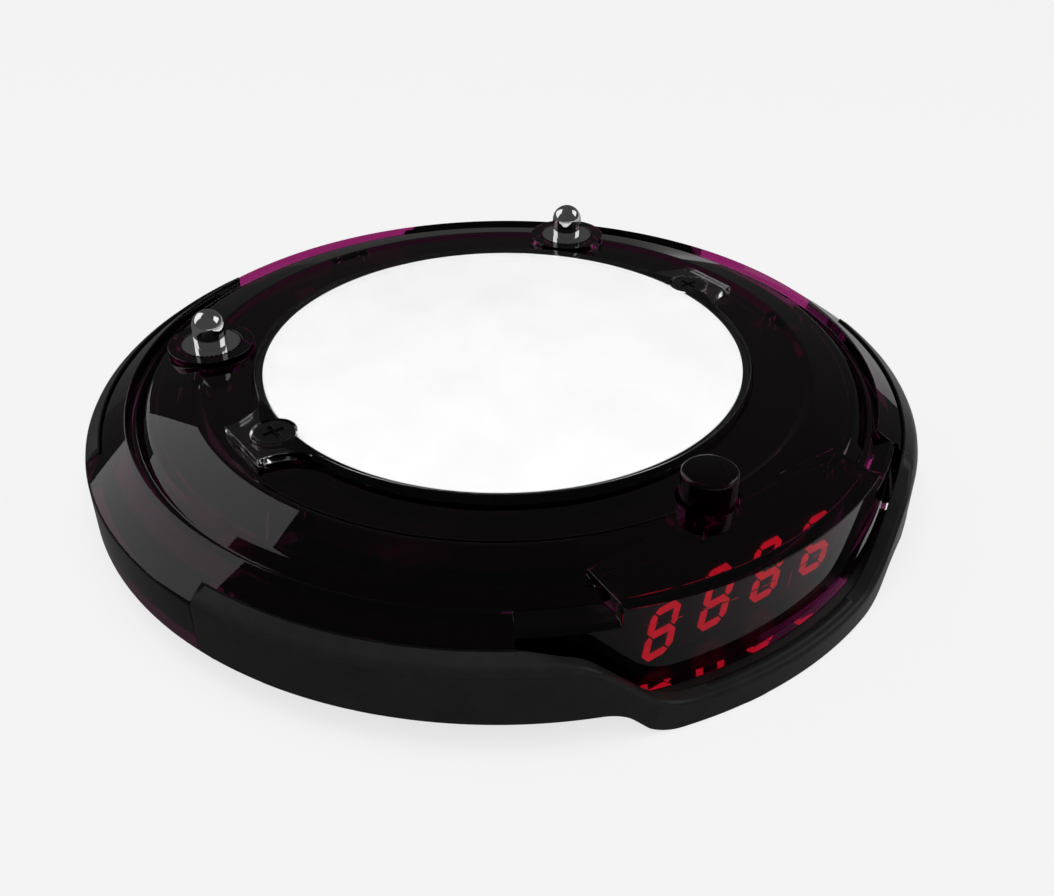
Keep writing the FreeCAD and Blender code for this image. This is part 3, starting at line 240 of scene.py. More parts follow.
plum_plastic = see_through("plum_plastic", (0.23, 0.016, 0.12), (0.3, 0.06, 0.2), (0.003, 0.006))
rim_plastic = thin_plastic("rim_plastic", (0.51, 0.125, 0.355))
clear_plastic = see_through("clear_plastic", (0.96, 0.96, 0.96), (0.98, 0.98, 0.98), (0.004, 0.01))
bumper_rubber = surface(
    "bumper_rubber", (0.0095, 0.0095, 0.0095), (0.0075, 0.0075, 0.0075), (0.28, 0.36), bump=0.00003,
    specular=0.22)
# Painted shade: a black finish for faces inside the plastic, standing for the dark seen through it there
painted_shade_black = surface(
    "painted_shade_black", (0.004, 0.004, 0.004), (0.003, 0.003, 0.003), (0.5, 0.6), specular=0.2)
foot_rubber = surface("foot_rubber", (0.03, 0.03, 0.03), (0.02, 0.02, 0.02), (0.6, 0.7), bump=0.00004)
case_black = surface(
    "case_black", (0.006, 0.006, 0.006), (0.004, 0.004, 0.004), (0.25, 0.35), bump=0.00003)
label_white = surface("label_white", (0.94, 0.94, 0.94), (0.92, 0.92, 0.92), (0.5, 0.6), specular=0.2)
black_screw = surface(
    "black_screw", (0.006, 0.006, 0.006), (0.004, 0.004, 0.004), (0.2, 0.28), specular=0.2)
steel = surface("steel", (0.3, 0.3, 0.31), (0.26, 0.26, 0.27), (0.3, 0.4), metallic=1.0)
pin_chrome = surface("pin_chrome", (0.82, 0.82, 0.84), (0.76, 0.76, 0.78), (0.06, 0.1), metallic=1.0)
collar_metal = surface("collar_metal", (0.85, 0.85, 0.85), (0.8, 0.8, 0.8), (0.05, 0.08), metallic=1.0)
contact_brass = surface(
    "contact_brass", (0.72, 0.52, 0.22), (0.66, 0.46, 0.18), (0.25, 0.35), metallic=1.0)
part_black = surface(
    "part_black", (0.006, 0.006, 0.006), (0.004, 0.004, 0.004), (0.4, 0.5), specular=0.3)
digit_dark = surface("digit_dark", (0.012, 0.006, 0.006), (0.008, 0.004, 0.004), (0.4, 0.5))
digit_red = glowing("digit_red", (1.0, 0.12, 0.06), 1.7)
board_green = surface(
    "board_green", (0.004, 0.02, 0.008), (0.003, 0.014, 0.006), (0.35, 0.45), specular=0.3)
light_white = surface("light_white", (0.3, 0.29, 0.24), (0.24, 0.23, 0.19), (0.3, 0.4))
battery_silver = surface(
    "battery_silver", (0.06, 0.06, 0.065), (0.05, 0.05, 0.055), (0.4, 0.5), metallic=0.3)

SLOT_FINISHES = {
    "plum_plastic": plum_plastic,
    "clear_plastic": clear_plastic,
    "bumper_rubber": bumper_rubber,
    "foot_rubber": foot_rubber,
    "case_black": case_black,
    "label_white": label_white,
    "black_screw": black_screw,
    "steel": steel,
    "pin_chrome": pin_chrome,
    "collar_metal": collar_metal,
    "contact_brass": contact_brass,
    "part_black": part_black,
    "digit_red": digit_red,
    "board_green": board_green,
    "light_white": light_white,
    "battery_silver": battery_silver,
}
NODE_SLOTS = {part["node"]: part["material_slot"] for part in frame["record"]["subparts"]}
BODIES = frame["record"]["behaviour"]["bodies"]
NODE_BODIES = {node: body for body, nodes in BODIES.items() for node in nodes}


# Shapes, and how close two of their corners lie to become one, in millimetres
WIDE_ROUNDING = 1.0
PROFILE_WELD = 0.0005
CUT_WELD = 0.001
NODE_WELD = 0.002
OUTLINE_WELD = 0.01


def at_angle(azimuth, distance, height):
    """A place round the pager, the azimuth counted from +X towards +Y."""
    angle = math.radians(azimuth)
    return Vector((distance * math.cos(angle), distance * math.sin(angle), height))


def turned(profile, first=0.0, sweep=360.0, step=1.5):
    """A closed solid from a profile of radius, height and rounding, turned about the upright axis."""
    shape = bmesh.new()
    corners = [shape.verts.new((radius * MM, 0.0, height * MM)) for radius, height, rounding in profile]
    shape.faces.new(corners)
    roundings = [rounding for radius, height, rounding in profile]
    for rounding in sorted(set(roundings) - {0.0}):
        chosen = [corner for corner, own in zip(corners, roundings) if own == rounding]
        bmesh.ops.bevel(
            shape, geom=chosen, offset=rounding * MM, segments=3 if rounding < WIDE_ROUNDING else 12,
            profile=0.5, affect="VERTICES", material=-1)
    bmesh.ops.delete(shape, geom=shape.faces[:], context="FACES_ONLY")
    start = Matrix.Rotation(math.radians(first), 3, "Z")
    bmesh.ops.rotate(shape, verts=shape.verts, cent=(0, 0, 0), matrix=start)
    full = sweep >= 360.0
    bmesh.ops.spin(
        shape, geom=shape.edges[:], cent=(0, 0, 0), axis=(0, 0, 1), angle=math.radians(sweep),
        steps=round(sweep / step), use_merge=full)
    bmesh.ops.remove_doubles(shape, verts=shape.verts, dist=PROFILE_WELD * MM)
    bmesh.ops.holes_fill(shape, edges=[edge for edge in shape.edges if edge.is_boundary])
    bmesh.ops.recalc_face_normals(shape, faces=shape.faces)
    return shape


def rods(places, radius, low, high, segments=64):
    """Round rods between two heights, one at each place."""
    shape = bmesh.new()
    for x, y in places:
        rod = bmesh.ops.create_cone(
            shape, cap_ends=True, segments=segments, radius1=radius * MM, radius2=radius * MM,
            depth=(high - low) * MM)
        bmesh.ops.translate(shape, verts=rod["verts"], vec=(x * MM, y * MM, (low + high) / 2 * MM))
    return shape


def boxes(rows):
    """Straight boxes from their low and high corners."""
    shape = bmesh.new()
    for low, high in rows:
        box = bmesh.ops.create_cube(shape, size=1.0)
        bmesh.ops.scale(shape, verts=box["verts"], vec=[(b - a) * MM for a, b in zip(low, high)])
        bmesh.ops.translate(shape, verts=box["verts"], vec=[(a + b) / 2 * MM for a, b in zip(low, high)])
    return shape


def visor_prism(back, front, below, above, margin, flare=0.0):
    """The visor's trapezoid between two places, from below to above its tilted top plane."""
    shape = bmesh.new()
    corners = []
    widening = VISOR_FRONT_HALF_WIDTH - VISOR_BACK_HALF_WIDTH
    for y in (back, front):
        half = VISOR_BACK_HALF_WIDTH + (y - VISOR_BACK) * widening / (WINDOW_RADIUS - VISOR_BACK) + margin
        height = VISOR_FRONT_HEIGHT + (WINDOW_RADIUS - y) * math.tan(math.radians(VISOR_TILT)) - below
        sides = (-half, half) if y == back else (half, -half)
        corners += [shape.verts.new((x * MM, -y * MM, height * MM)) for x in sides]
    sheet = shape.faces.new(corners)
    upper = bmesh.ops.extrude_face_region(shape, geom=[sheet], use_keep_orig=True)
    lifted = [item for item in upper["geom"] if isinstance(item, bmesh.types.BMVert)]
    for corner in lifted:
        wider = math.copysign(flare * (below + above), corner.co.x)
        corner.co += Vector((wider, 0.0, below + above)) * MM
    bmesh.ops.recalc_face_normals(shape, faces=shape.faces)
    return shape


def join(shapes):
    """Several shapes in one, side by side."""
    whole = bmesh.new()
    for shape in shapes:
        mesh = bpy.data.meshes.new("passing")
        shape.to_mesh(mesh)
        shape.free()
        whole.from_mesh(mesh)
        bpy.data.meshes.remove(mesh)
    return whole


def combined(base, tool, operation):
    """The base with a tool's shape added or cut away."""
    items = []
    for shape in (base, tool):
        mesh = bpy.data.meshes.new("passing")
        shape.to_mesh(mesh)
        shape.free()
        items.append(bpy.data.objects.new("passing", mesh))
        bpy.context.scene.collection.objects.link(items[-1])
    cut = items[0].modifiers.new("cut", "BOOLEAN")
    cut.operation = operation
    cut.solver = "EXACT"
    cut.object = items[1]
    mesh = bpy.data.meshes.new_from_object(items[0].evaluated_get(bpy.context.evaluated_depsgraph_get()))
    result = bmesh.new()
    result.from_mesh(mesh)
    for item in items:
        old = item.data
        bpy.data.objects.remove(item)
        bpy.data.meshes.remove(old)
    bpy.data.meshes.remove(mesh)
    bmesh.ops.remove_doubles(result, verts=result.verts, dist=CUT_WELD * MM)
    return result


def finish_piece(shape, name, node, corner=30.0, edge=0.0, edge_angle=30.0, other_finishes=()):
    """Turn a finished bmesh into the piece that stands for a node, on the node's body and slot."""
    mesh = bpy.data.meshes.new(name)
    shape.to_mesh(mesh)
    shape.free()
    piece = bpy.data.objects.new(name, mesh)
    bpy.context.scene.collection.objects.link(piece)
    for finish in (SLOT_FINISHES[NODE_SLOTS[node]], *other_finishes):
        mesh.materials.append(finish)
    for face in mesh.polygons:
        face.use_smooth = True
    mesh.set_sharp_from_angle(angle=math.radians(corner))
    if edge:
        rounding = piece.modifiers.new("rounded_edges", "BEVEL")
        rounding.width = edge * MM
        rounding.segments = 2
        rounding.limit_method = "ANGLE"
        rounding.angle_limit = math.radians(edge_angle)
        rounding.use_clamp_overlap = False
    flats = piece.modifiers.new("true_flats", "WEIGHTED_NORMAL")
    flats.keep_sharp = True
    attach(piece, NODE_BODIES[node])
    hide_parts(node)


def node_shape(node):
    """The node's own shape with its triangles joined up and its flat faces whole."""
    shape = bmesh.new()
    shape.from_mesh(frame["nodes"][node].data)
    bmesh.ops.remove_doubles(shape, verts=shape.verts, dist=NODE_WELD * MM)
    bmesh.ops.dissolve_limit(shape, verts=shape.verts, edges=shape.edges, angle_limit=math.radians(0.4))
    bmesh.ops.recalc_face_normals(shape, faces=shape.faces)
    return shape


# Housing. CUT_RADIUS, CUT_BASE and CUT_TOP lie clear of it, for the ends of the shapes that cut it
CUT_RADIUS = 56.0
CUT_BASE = 3.0
CUT_TOP = 20.0
BUMPER_ROOM_TOP = 13.0
SHELF_FRONT_HEIGHT = 12.4
PANE_RADIUS = 49.6
WINDOW_TOP = 12.6
FRONT_CUT_RADIUS = 60.0
VISOR_ROOT = 39.0
VISOR_EXTRA = 0.8
VISOR_WALL_HALF_ANGLE = 22.3
VISOR_WALL_HEIGHTS = (12.0, 15.0)
UNDER_VISOR_ENDS = (41.0, 47.5)
UNDER_VISOR_DEPTH = 6.0
UNDER_VISOR_HEIGHTS = (8.0, 20.0)
ABOVE_VISOR = 4.0
VISOR_SIDE_GAP = 0.005
VISOR_SIDE_FLARE = 1.2
BOSS_RADIUS = 5.45
BOSS_BASE = 13.6
POST_RING_RADIUS = 40.0
POST_RADIUS = 3.0
POST_HEIGHTS = (5.1, 13.8)
EAR_POST_RADIUS = 3.05
EAR_POST_HEIGHTS = (10.8, 13.9)
COLLAR_HOLE_RADIUS = 3.9
COLLAR_HOLE_DEPTH = 1.5
PIN_HOLE_RADIUS = 1.55
PIN_HOLE_TOP = 15.0
EAR_HOLE_RADIUS = 1.3
EAR_HOLE_BASE = 11.4
BUTTON_HOLE_RADIUS = 3.45
HOLE_BASE = 12.0

# Where the see-through finishes end round the rear: on the ridge, on the chamfer outside it
RIDGE_RADII = (46.15, 46.9)
RIDGE_STRETCHES = ((-14.0, 13.5), (72.5, 112.0))
CHAMFER_STRETCHES = ((-8.0, 17.0), (71.5, 113.0))
UPRIGHT_LIMIT = 0.3
FACE_TOLERANCE = 0.1


def ring_room(inner, outer, low, high, middle, sweep):
    """Room for a bumper: a stretch of a ring with its middle in a direction."""
    return turned(
        ((inner, low, 0.0), (outer, low, 0.0), (outer, high, 0.0), (inner, high, 0.0)),
        first=middle - sweep / 2, sweep=sweep, step=1.0)


def make_housing():
    """The plum housing: rim, groove, crown, land and recess, with window, visor, bosses and posts."""
    shape = turned(HOUSING_PROFILE)
    for middle, sweep in ((REAR_LEFT, REAR_SWEEP), (REAR_RIGHT, REAR_SWEEP), (FRONT, FRONT_SWEEP)):
        room = ring_room(WALL_RADIUS, CUT_RADIUS, CUT_BASE, BUMPER_ROOM_TOP, middle, sweep)
        shape = combined(shape, room, "DIFFERENCE")
    shelf = turned((
        (GROOVE_RADIUS, GROOVE_BASE, 0.0),
        (WINDOW_RADIUS, GROOVE_BASE, 0.0),
        (CUT_RADIUS, SHELF_FRONT_HEIGHT, 0.0),
        (CUT_RADIUS, CUT_TOP, 0.0),
        (GROOVE_RADIUS, CUT_TOP, 0.0),
    ), first=FRONT - SHELF_HALF_ANGLE, sweep=2 * SHELF_HALF_ANGLE, step=1.0)
    shape = combined(shape, shelf, "DIFFERENCE")
    window = ring_room(
        WINDOW_INNER_RADIUS, PANE_RADIUS, WINDOW_BASE, WINDOW_TOP, FRONT, 2 * SHELF_HALF_ANGLE)
    visor = visor_prism(VISOR_ROOT, RIM_RADIUS, VISOR_DEPTH, VISOR_EXTRA, 0.0)
    visor_wall = ring_room(
        WINDOW_INNER_RADIUS, PANE_RADIUS, *VISOR_WALL_HEIGHTS, FRONT, 2 * VISOR_WALL_HALF_ANGLE)
    for piece in (window, visor, visor_wall):
        shape = combined(shape, piece, "UNION")
    under_visor = combined(
        visor_prism(*UNDER_VISOR_ENDS, UNDER_VISOR_DEPTH, -VISOR_PLATE, -VISOR_PLATE),
        rods([(0.0, 0.0)], WINDOW_INNER_RADIUS, *UNDER_VISOR_HEIGHTS, 240), "INTERSECT")
    shape = combined(shape, under_visor, "DIFFERENCE")
    post_places = [at_angle(angle, POST_RING_RADIUS, 0.0)[:2] for angle in POST_ANGLES]
    stands = join((
        rods(PIN_PLACES, BOSS_RADIUS, BOSS_BASE, BOSS_TOP, 128),
        rods(post_places, POST_RADIUS, *POST_HEIGHTS),
        rods(EAR_PLACES, EAR_POST_RADIUS, *EAR_POST_HEIGHTS),
    ))
    shape = combined(shape, stands, "UNION")
    front = ring_room(WINDOW_RADIUS, FRONT_CUT_RADIUS, 0.0, CUT_TOP, FRONT, 2 * SHELF_HALF_ANGLE)
    shape = combined(shape, front, "DIFFERENCE")
    above = visor_prism(LAND_EDGE, CUT_RADIUS, 0.0, ABOVE_VISOR, VISOR_SIDE_GAP, VISOR_SIDE_FLARE)
    shape = combined(shape, above, "DIFFERENCE")
    holes = join((
        rods(PIN_PLACES, COLLAR_HOLE_RADIUS, BOSS_TOP - COLLAR_HOLE_DEPTH, CUT_TOP, 96),
        rods(PIN_PLACES, PIN_HOLE_RADIUS, HOLE_BASE, PIN_HOLE_TOP, 48),
        rods(EAR_PLACES, EAR_HOLE_RADIUS, EAR_HOLE_BASE, CUT_TOP, 48),
        rods([BUTTON_PLACE], BUTTON_HOLE_RADIUS, HOLE_BASE, CUT_TOP, 96),
    ))
    shape = combined(shape, holes, "DIFFERENCE")
    paint_rim(shape)
    finish_piece(
        shape, "plum_cover", "top_cover", corner=25.0, edge=0.08, edge_angle=55.0,
        other_finishes=(painted_shade_black, rim_plastic))


def paint_rim(shape):
    """Painted shade: black under the rim and on the left window's inner wall. Straight see-through faces at
    the bare rim windows at the left and rear.
    """
    for face in shape.faces:
        middle = face.calc_center_median() / MM
        radius = math.hypot(middle.x, middle.y)
        angle = math.degrees(math.atan2(middle.y, middle.x))
        left_window = abs(angle) > 180.0 - RIM_WINDOW_HALF_ANGLE
        inner_wall = abs(face.normal.z) < UPRIGHT_LIMIT and abs(radius - WALL_INNER_RADIUS) < FACE_TOLERANCE
        stretches = RIDGE_STRETCHES if radius < RIDGE_RADII[1] else CHAMFER_STRETCHES
        at_rear = any(first < angle < last for first, last in stretches)
        # Painted shade: the rim's underside and the left window's lower inner wall turn black
        if middle.z < RIM_BASE + FACE_TOLERANCE and radius > WALL_INNER_RADIUS:
            face.material_index = 2 if left_window else 1
        elif left_window and inner_wall and middle.z < RIM_TOP:
            face.material_index = 1
        elif at_rear and middle.z > RIM_BASE and radius > RIDGE_RADII[0]:
            face.material_index = 2


# Bumpers
def arc_height(x, start, end, radius, bulge):
    """Height at x on a circle through two points, its hollow side up for bulge 1, down for -1."""
    middle_x = (start[0] + end[0]) / 2
    middle_z = (start[1] + end[1]) / 2
    run = end[0] - start[0]
    rise = end[1] - start[1]
    chord = math.hypot(run, rise)
    away = math.sqrt(radius * radius - chord * chord / 4)
    centre_x = middle_x - bulge * away * rise / chord
    centre_z = middle_z + bulge * away * run / chord
    return centre_z - bulge * math.sqrt(max(0.0, radius * radius - (x - centre_x) ** 2))


def outline_height(x, points):
    """Height at x along an outline of points and the arcs between them: x, height, arc radius, bulge."""
    for start, end in zip(points, points[1:]):
        if x <= end[0]:
            if start[2]:
                return arc_height(x, start, end, start[2], start[3])
            return start[1] + (end[1] - start[1]) * (x - start[0]) / (end[0] - start[0])
    return points[-1][1]


# The front bumper's upper and lower edge from its middle outwards: x, height, arc radius, bulge
DIP = (
    (0.0, CHIN_TOP, 0, 0),
    (11.6, CHIN_TOP, 8.0, 1),
    (17.6, 5.6, 0, 0),
    (21.6, 9.5, 5.6, -1),
    (24.3, 10.9, 0, 0),
    (28.3, 12.2, 0, 0),
    (28.4, CUT_TOP, 0, 0),
)
KEEL = (
    (0.0, 0.0, 0, 0),
    (13.7, 0.0, 6.0, 1),
    (17.4, 1.1, 0, 0),
    (19.2, 3.0, 4.6, -1),
    (22.2, RIM_BASE, 0, 0),
)
BAND_HEIGHT = 9.0


def make_bumper(node, middle, sweep, dips):
    """A rubber band with a rounded upper edge. The front one dips beside the window and passes under it."""
    inner_top = RIM_TOP + (RIM_RADIUS - WALL_RADIUS) * CHAMFER_SLOPE + BUMPER_LIP
    outer_top = RIM_TOP + BUMPER_LIP
    shape = turned((
        (WALL_RADIUS, -BAND_HEIGHT, 0.0),
        (RIM_RADIUS, -BAND_HEIGHT, 0.15),
        (RIM_RADIUS, 0.0, BUMPER_ROUNDING),
        (WALL_RADIUS, 0.0, 0.2),
    ), first=middle - sweep / 2, sweep=sweep, step=0.5)
    for corner in shape.verts:
        x, y, z = (part / MM for part in corner.co)
        radius = math.hypot(x, y)
        if z < -BAND_HEIGHT / 2:
            base = outline_height(abs(x), KEEL) if dips else RIM_BASE
            corner.co.z = (base + z + BAND_HEIGHT) * MM
        else:
            top = outer_top + (RIM_RADIUS - radius) * (inner_top - outer_top) / (RIM_RADIUS - WALL_RADIUS)
            if dips:
                top = min(top, outline_height(abs(x), DIP))
            corner.co.z = (top + z) * MM
    bmesh.ops.recalc_face_normals(shape, faces=shape.faces)
    finish_piece(shape, f"{node}_band", node, corner=50.0, edge=0.15)


def make_bumpers():
    """The two rear bands and the front one."""
    make_bumper("rear_left_bumper", REAR_LEFT, REAR_SWEEP, False)
    make_bumper("rear_right_bumper", REAR_RIGHT, REAR_SWEEP, False)
    make_bumper("front_bumper", FRONT, FRONT_SWEEP, True)


# Label, clear cover and its screws. CLEAR lies clear of a piece, for the ends of the shapes that cut it
CLEAR = 2.0
LABEL_RADIUS = 30.2
LABEL_TOP = 15.4
COVER_RADIUS = 31.2
COVER_ROOM_RADIUS = 30.4
COVER_ROOM_TOP = 15.45
SKIRT_TOP = 15.5
SKIRT_MARGIN = 0.4
SKIRT_PAINT_TOP = 16.0
EAR_FILLET = 5.8
EAR_HALF_WIDTH = 4.2
EAR_END = 36.2
SCREW_HEAD_HEIGHT = 0.75
SCREW_HEAD_RADIUS = 2.45
SCREW_RADIUS = 1.25
SCREW_LENGTH = 4.0
SCREW_SEAT_RADIUS = 2.65
SCREW_HOLE_RADIUS = 1.35
CROSS_HALF_LENGTH = 1.35
CROSS_HALF_WIDTH = 0.29
CROSS_DEPTH = 0.5


def make_label():
    """The white disc in the recess."""
    shape = turned((
        (0.0, RECESS, 0.0),
        (LABEL_RADIUS, RECESS, 0.05),
        (LABEL_RADIUS, LABEL_TOP, 0.12),
        (0.0, LABEL_TOP, 0.0),
    ))
    finish_piece(shape, "white_label", "label_disc")


def ear_outline(shape, height):
    """The clear cover's outline: two wide arcs, a smooth flare and a short straight to each ear's end."""
    flare_y = EAR_HALF_WIDTH + EAR_FILLET
    flare_x = math.sqrt((COVER_RADIUS + EAR_FILLET) ** 2 - flare_y ** 2)
    touch = math.atan2(flare_y, flare_x)
    first = shape.verts.new((
        COVER_RADIUS * math.cos(touch) * MM, COVER_RADIUS * math.sin(touch) * MM, height * MM))
    bmesh.ops.spin(
        shape, geom=[first], cent=(0, 0, 0), axis=(0, 0, 1), angle=math.pi - 2 * touch, steps=100)
    for side in (1, -1):
        start = shape.verts.new((side * flare_x * MM, EAR_HALF_WIDTH * MM, height * MM))
        bmesh.ops.spin(
            shape, geom=[start], cent=(side * flare_x * MM, flare_y * MM, height * MM), axis=(0, 0, 1),
            angle=-side * (math.pi / 2 - touch), steps=12)
        tip = shape.verts.new((side * EAR_END * MM, EAR_HALF_WIDTH * MM, height * MM))
        foot = shape.verts.new((side * EAR_END * MM, 0.0, height * MM))
        shape.edges.new((start, tip))
        shape.edges.new((tip, foot))
    bmesh.ops.remove_doubles(shape, verts=shape.verts, dist=OUTLINE_WELD * MM)
    bmesh.ops.mirror(shape, geom=shape.verts[:] + shape.edges[:], axis="Y", merge_dist=OUTLINE_WELD * MM)
    bmesh.ops.remove_doubles(shape, verts=shape.verts, dist=OUTLINE_WELD * MM)


def make_label_cover():
    """A clear plate with a low skirt round the label, and an ear with a screw hole at each side."""
    shape = bmesh.new()
    ear_outline(shape, COVER_TOP)
    plate = bmesh.ops.contextual_create(shape, geom=shape.edges[:])["faces"]
    lower = bmesh.ops.extrude_face_region(shape, geom=plate, use_keep_orig=True)
    dropped = [item for item in lower["geom"] if isinstance(item, bmesh.types.BMVert)]
    bmesh.ops.translate(shape, verts=dropped, vec=(0, 0, (LAND + SEAT_GAP - COVER_TOP) * MM))
    bmesh.ops.recalc_face_normals(shape, faces=shape.faces)
    skirt = rods([(0.0, 0.0)], COVER_RADIUS, RECESS + SEAT_GAP, SKIRT_TOP, 240)
    shape = combined(shape, skirt, "UNION")
    seat = COVER_TOP - SCREW_HEAD_HEIGHT
    room = join((
        rods([(0.0, 0.0)], COVER_ROOM_RADIUS, RECESS - CLEAR, COVER_ROOM_TOP, 240),
        rods(EAR_PLACES, SCREW_SEAT_RADIUS, seat, COVER_TOP + CLEAR, 96),
        rods(EAR_PLACES, SCREW_HOLE_RADIUS, RECESS - CLEAR, seat + 0.25, 48),
    ))
    shape = combined(shape, room, "DIFFERENCE")
    # Painted shade: the skirt's upright faces turn black, so the label's white edge does not show through
    # the cover's rim
    for face in shape.faces:
        middle = face.calc_center_median() / MM
        radius = math.hypot(middle.x, middle.y)
        in_skirt = COVER_ROOM_RADIUS - SKIRT_MARGIN < radius < COVER_RADIUS + SKIRT_MARGIN
        if in_skirt and abs(face.normal.z) < UPRIGHT_LIMIT and middle.z < SKIRT_PAINT_TOP:
            face.material_index = 1
    finish_piece(
        shape, "clear_label_cover", "label_cover", corner=40.0, edge=0.1, other_finishes=(painted_shade_black,))


def make_label_screws():
    """Black cross-head screws in the ears."""
    seat = COVER_TOP - SCREW_HEAD_HEIGHT
    cross = ((CROSS_HALF_LENGTH, CROSS_HALF_WIDTH), (CROSS_HALF_WIDTH, CROSS_HALF_LENGTH))
    for (x, y), side in zip(EAR_PLACES, ("left", "right")):
        shape = turned((
            (0.0, seat - SCREW_LENGTH, 0.0),
            (SCREW_RADIUS, seat - SCREW_LENGTH, 0.2),
            (SCREW_RADIUS, seat, 0.0),
            (SCREW_HEAD_RADIUS, seat, 0.1),
            (SCREW_HEAD_RADIUS, COVER_TOP, 0.3),
            (0.0, COVER_TOP, 0.0),
        ), step=5.0)
        for across, along in cross:
            slot = boxes([((-across, -along, COVER_TOP - CROSS_DEPTH), (across, along, COVER_TOP + CLEAR))])
            shape = combined(shape, slot, "DIFFERENCE")
        bmesh.ops.translate(shape, verts=shape.verts, vec=(x * MM, y * MM, 0))
        finish_piece(shape, f"black_screw_{side}", f"label_screw_{side}", corner=35.0, edge=0.05)


# Pins, button and digits
PIN_BASE = 7.2
PIN_SHAFT_RADIUS = 1.5
PIN_RADIUS = 2.125
PIN_STRAIGHT = 2.4
PIN_DOME = 2.12
BUTTON_RADIUS = 3.15
BUTTON_BASE = 12.2
BUTTON_TOP = 18.7
BUTTON_BAR = ((-4.6, -1.4, 12.2), (4.6, 1.4, 13.0))
BUTTON_STEM_RADIUS = 1.399
BUTTON_STEM_HEIGHTS = (10.6, 12.6)
DARK_BAR_WIDTH = 1.3
DARK_BAR_HEIGHTS = (0.4, 3.3)


def make_pins():
    """Two metal charging pins with domed tops."""
    top = BOSS_TOP + PIN_STRAIGHT + PIN_RADIUS
    for (x, y), side in zip(PIN_PLACES, ("left", "right")):
        shape = turned((
            (0.0, PIN_BASE, 0.0),
            (PIN_SHAFT_RADIUS, PIN_BASE, 0.1),
            (PIN_SHAFT_RADIUS, BOSS_TOP, 0.0),
            (PIN_RADIUS, BOSS_TOP, 0.05),
            (PIN_RADIUS, top, PIN_DOME),
            (0.0, top, 0.0),
        ), step=4.0)
        bmesh.ops.translate(shape, verts=shape.verts, vec=(x * MM, y * MM, 0))
        finish_piece(shape, f"chrome_pin_{side}", f"charge_pin_{side}", corner=40.0)


def make_button():
    """The clear stud of the call button, with the bar under the housing that keeps it in its hole."""
    x, y = BUTTON_PLACE
    shape = turned((
        (0.0, BUTTON_BASE, 0.0),
        (BUTTON_RADIUS, BUTTON_BASE, 0.0),
        (BUTTON_RADIUS, BUTTON_TOP, 0.5),
        (0.0, BUTTON_TOP, 0.0),
    ), step=3.0)
    foot = join((boxes([BUTTON_BAR]), rods([(0.0, 0.0)], BUTTON_STEM_RADIUS, *BUTTON_STEM_HEIGHTS, 48)))
    shape = combined(shape, foot, "UNION")
    bmesh.ops.translate(shape, verts=shape.verts, vec=(x * MM, y * MM, 0))
    finish_piece(shape, "plum_call_button", "call_button", corner=35.0)


def make_digits():
    """Four digits of seven bars. The last one reads six, so its upper right bar is dark."""
    for digit in (1, 2, 3, 4):
        shape = node_shape(f"display_digit_{digit}")
        if digit == 4:
            edge = max(corner.co.x for corner in shape.verts)
            middle = sum(corner.co.z for corner in shape.verts) / len(shape.verts)
            low, high = (middle + height * MM for height in DARK_BAR_HEIGHTS)
            for face in shape.faces:
                centre = face.calc_center_median()
                if centre.x > edge - DARK_BAR_WIDTH * MM and low < centre.z < high:
                    face.material_index = 1
        finish_piece(shape, f"red_digit_{digit}", f"display_digit_{digit}", other_finishes=(digit_dark,))


make_housing()
make_bumpers()
make_label()
make_label_cover()
make_label_screws()
make_pins()
make_button()
make_digits()

for node, item in frame["nodes"].items():
    item.data.materials.clear()
    item.data.materials.append(SLOT_FINISHES[NODE_SLOTS[node]])


# Floor, lamps and camera. A lamp's place, size and the floor's stretches are in metres
FLOOR_RADIUS = 40.0
FLOOR_SHARE = 0.87
MIRRORED_STRETCH = (0.0, 0.13)
MIRRORED_BRIGHTNESS = (0.09, 0.52)


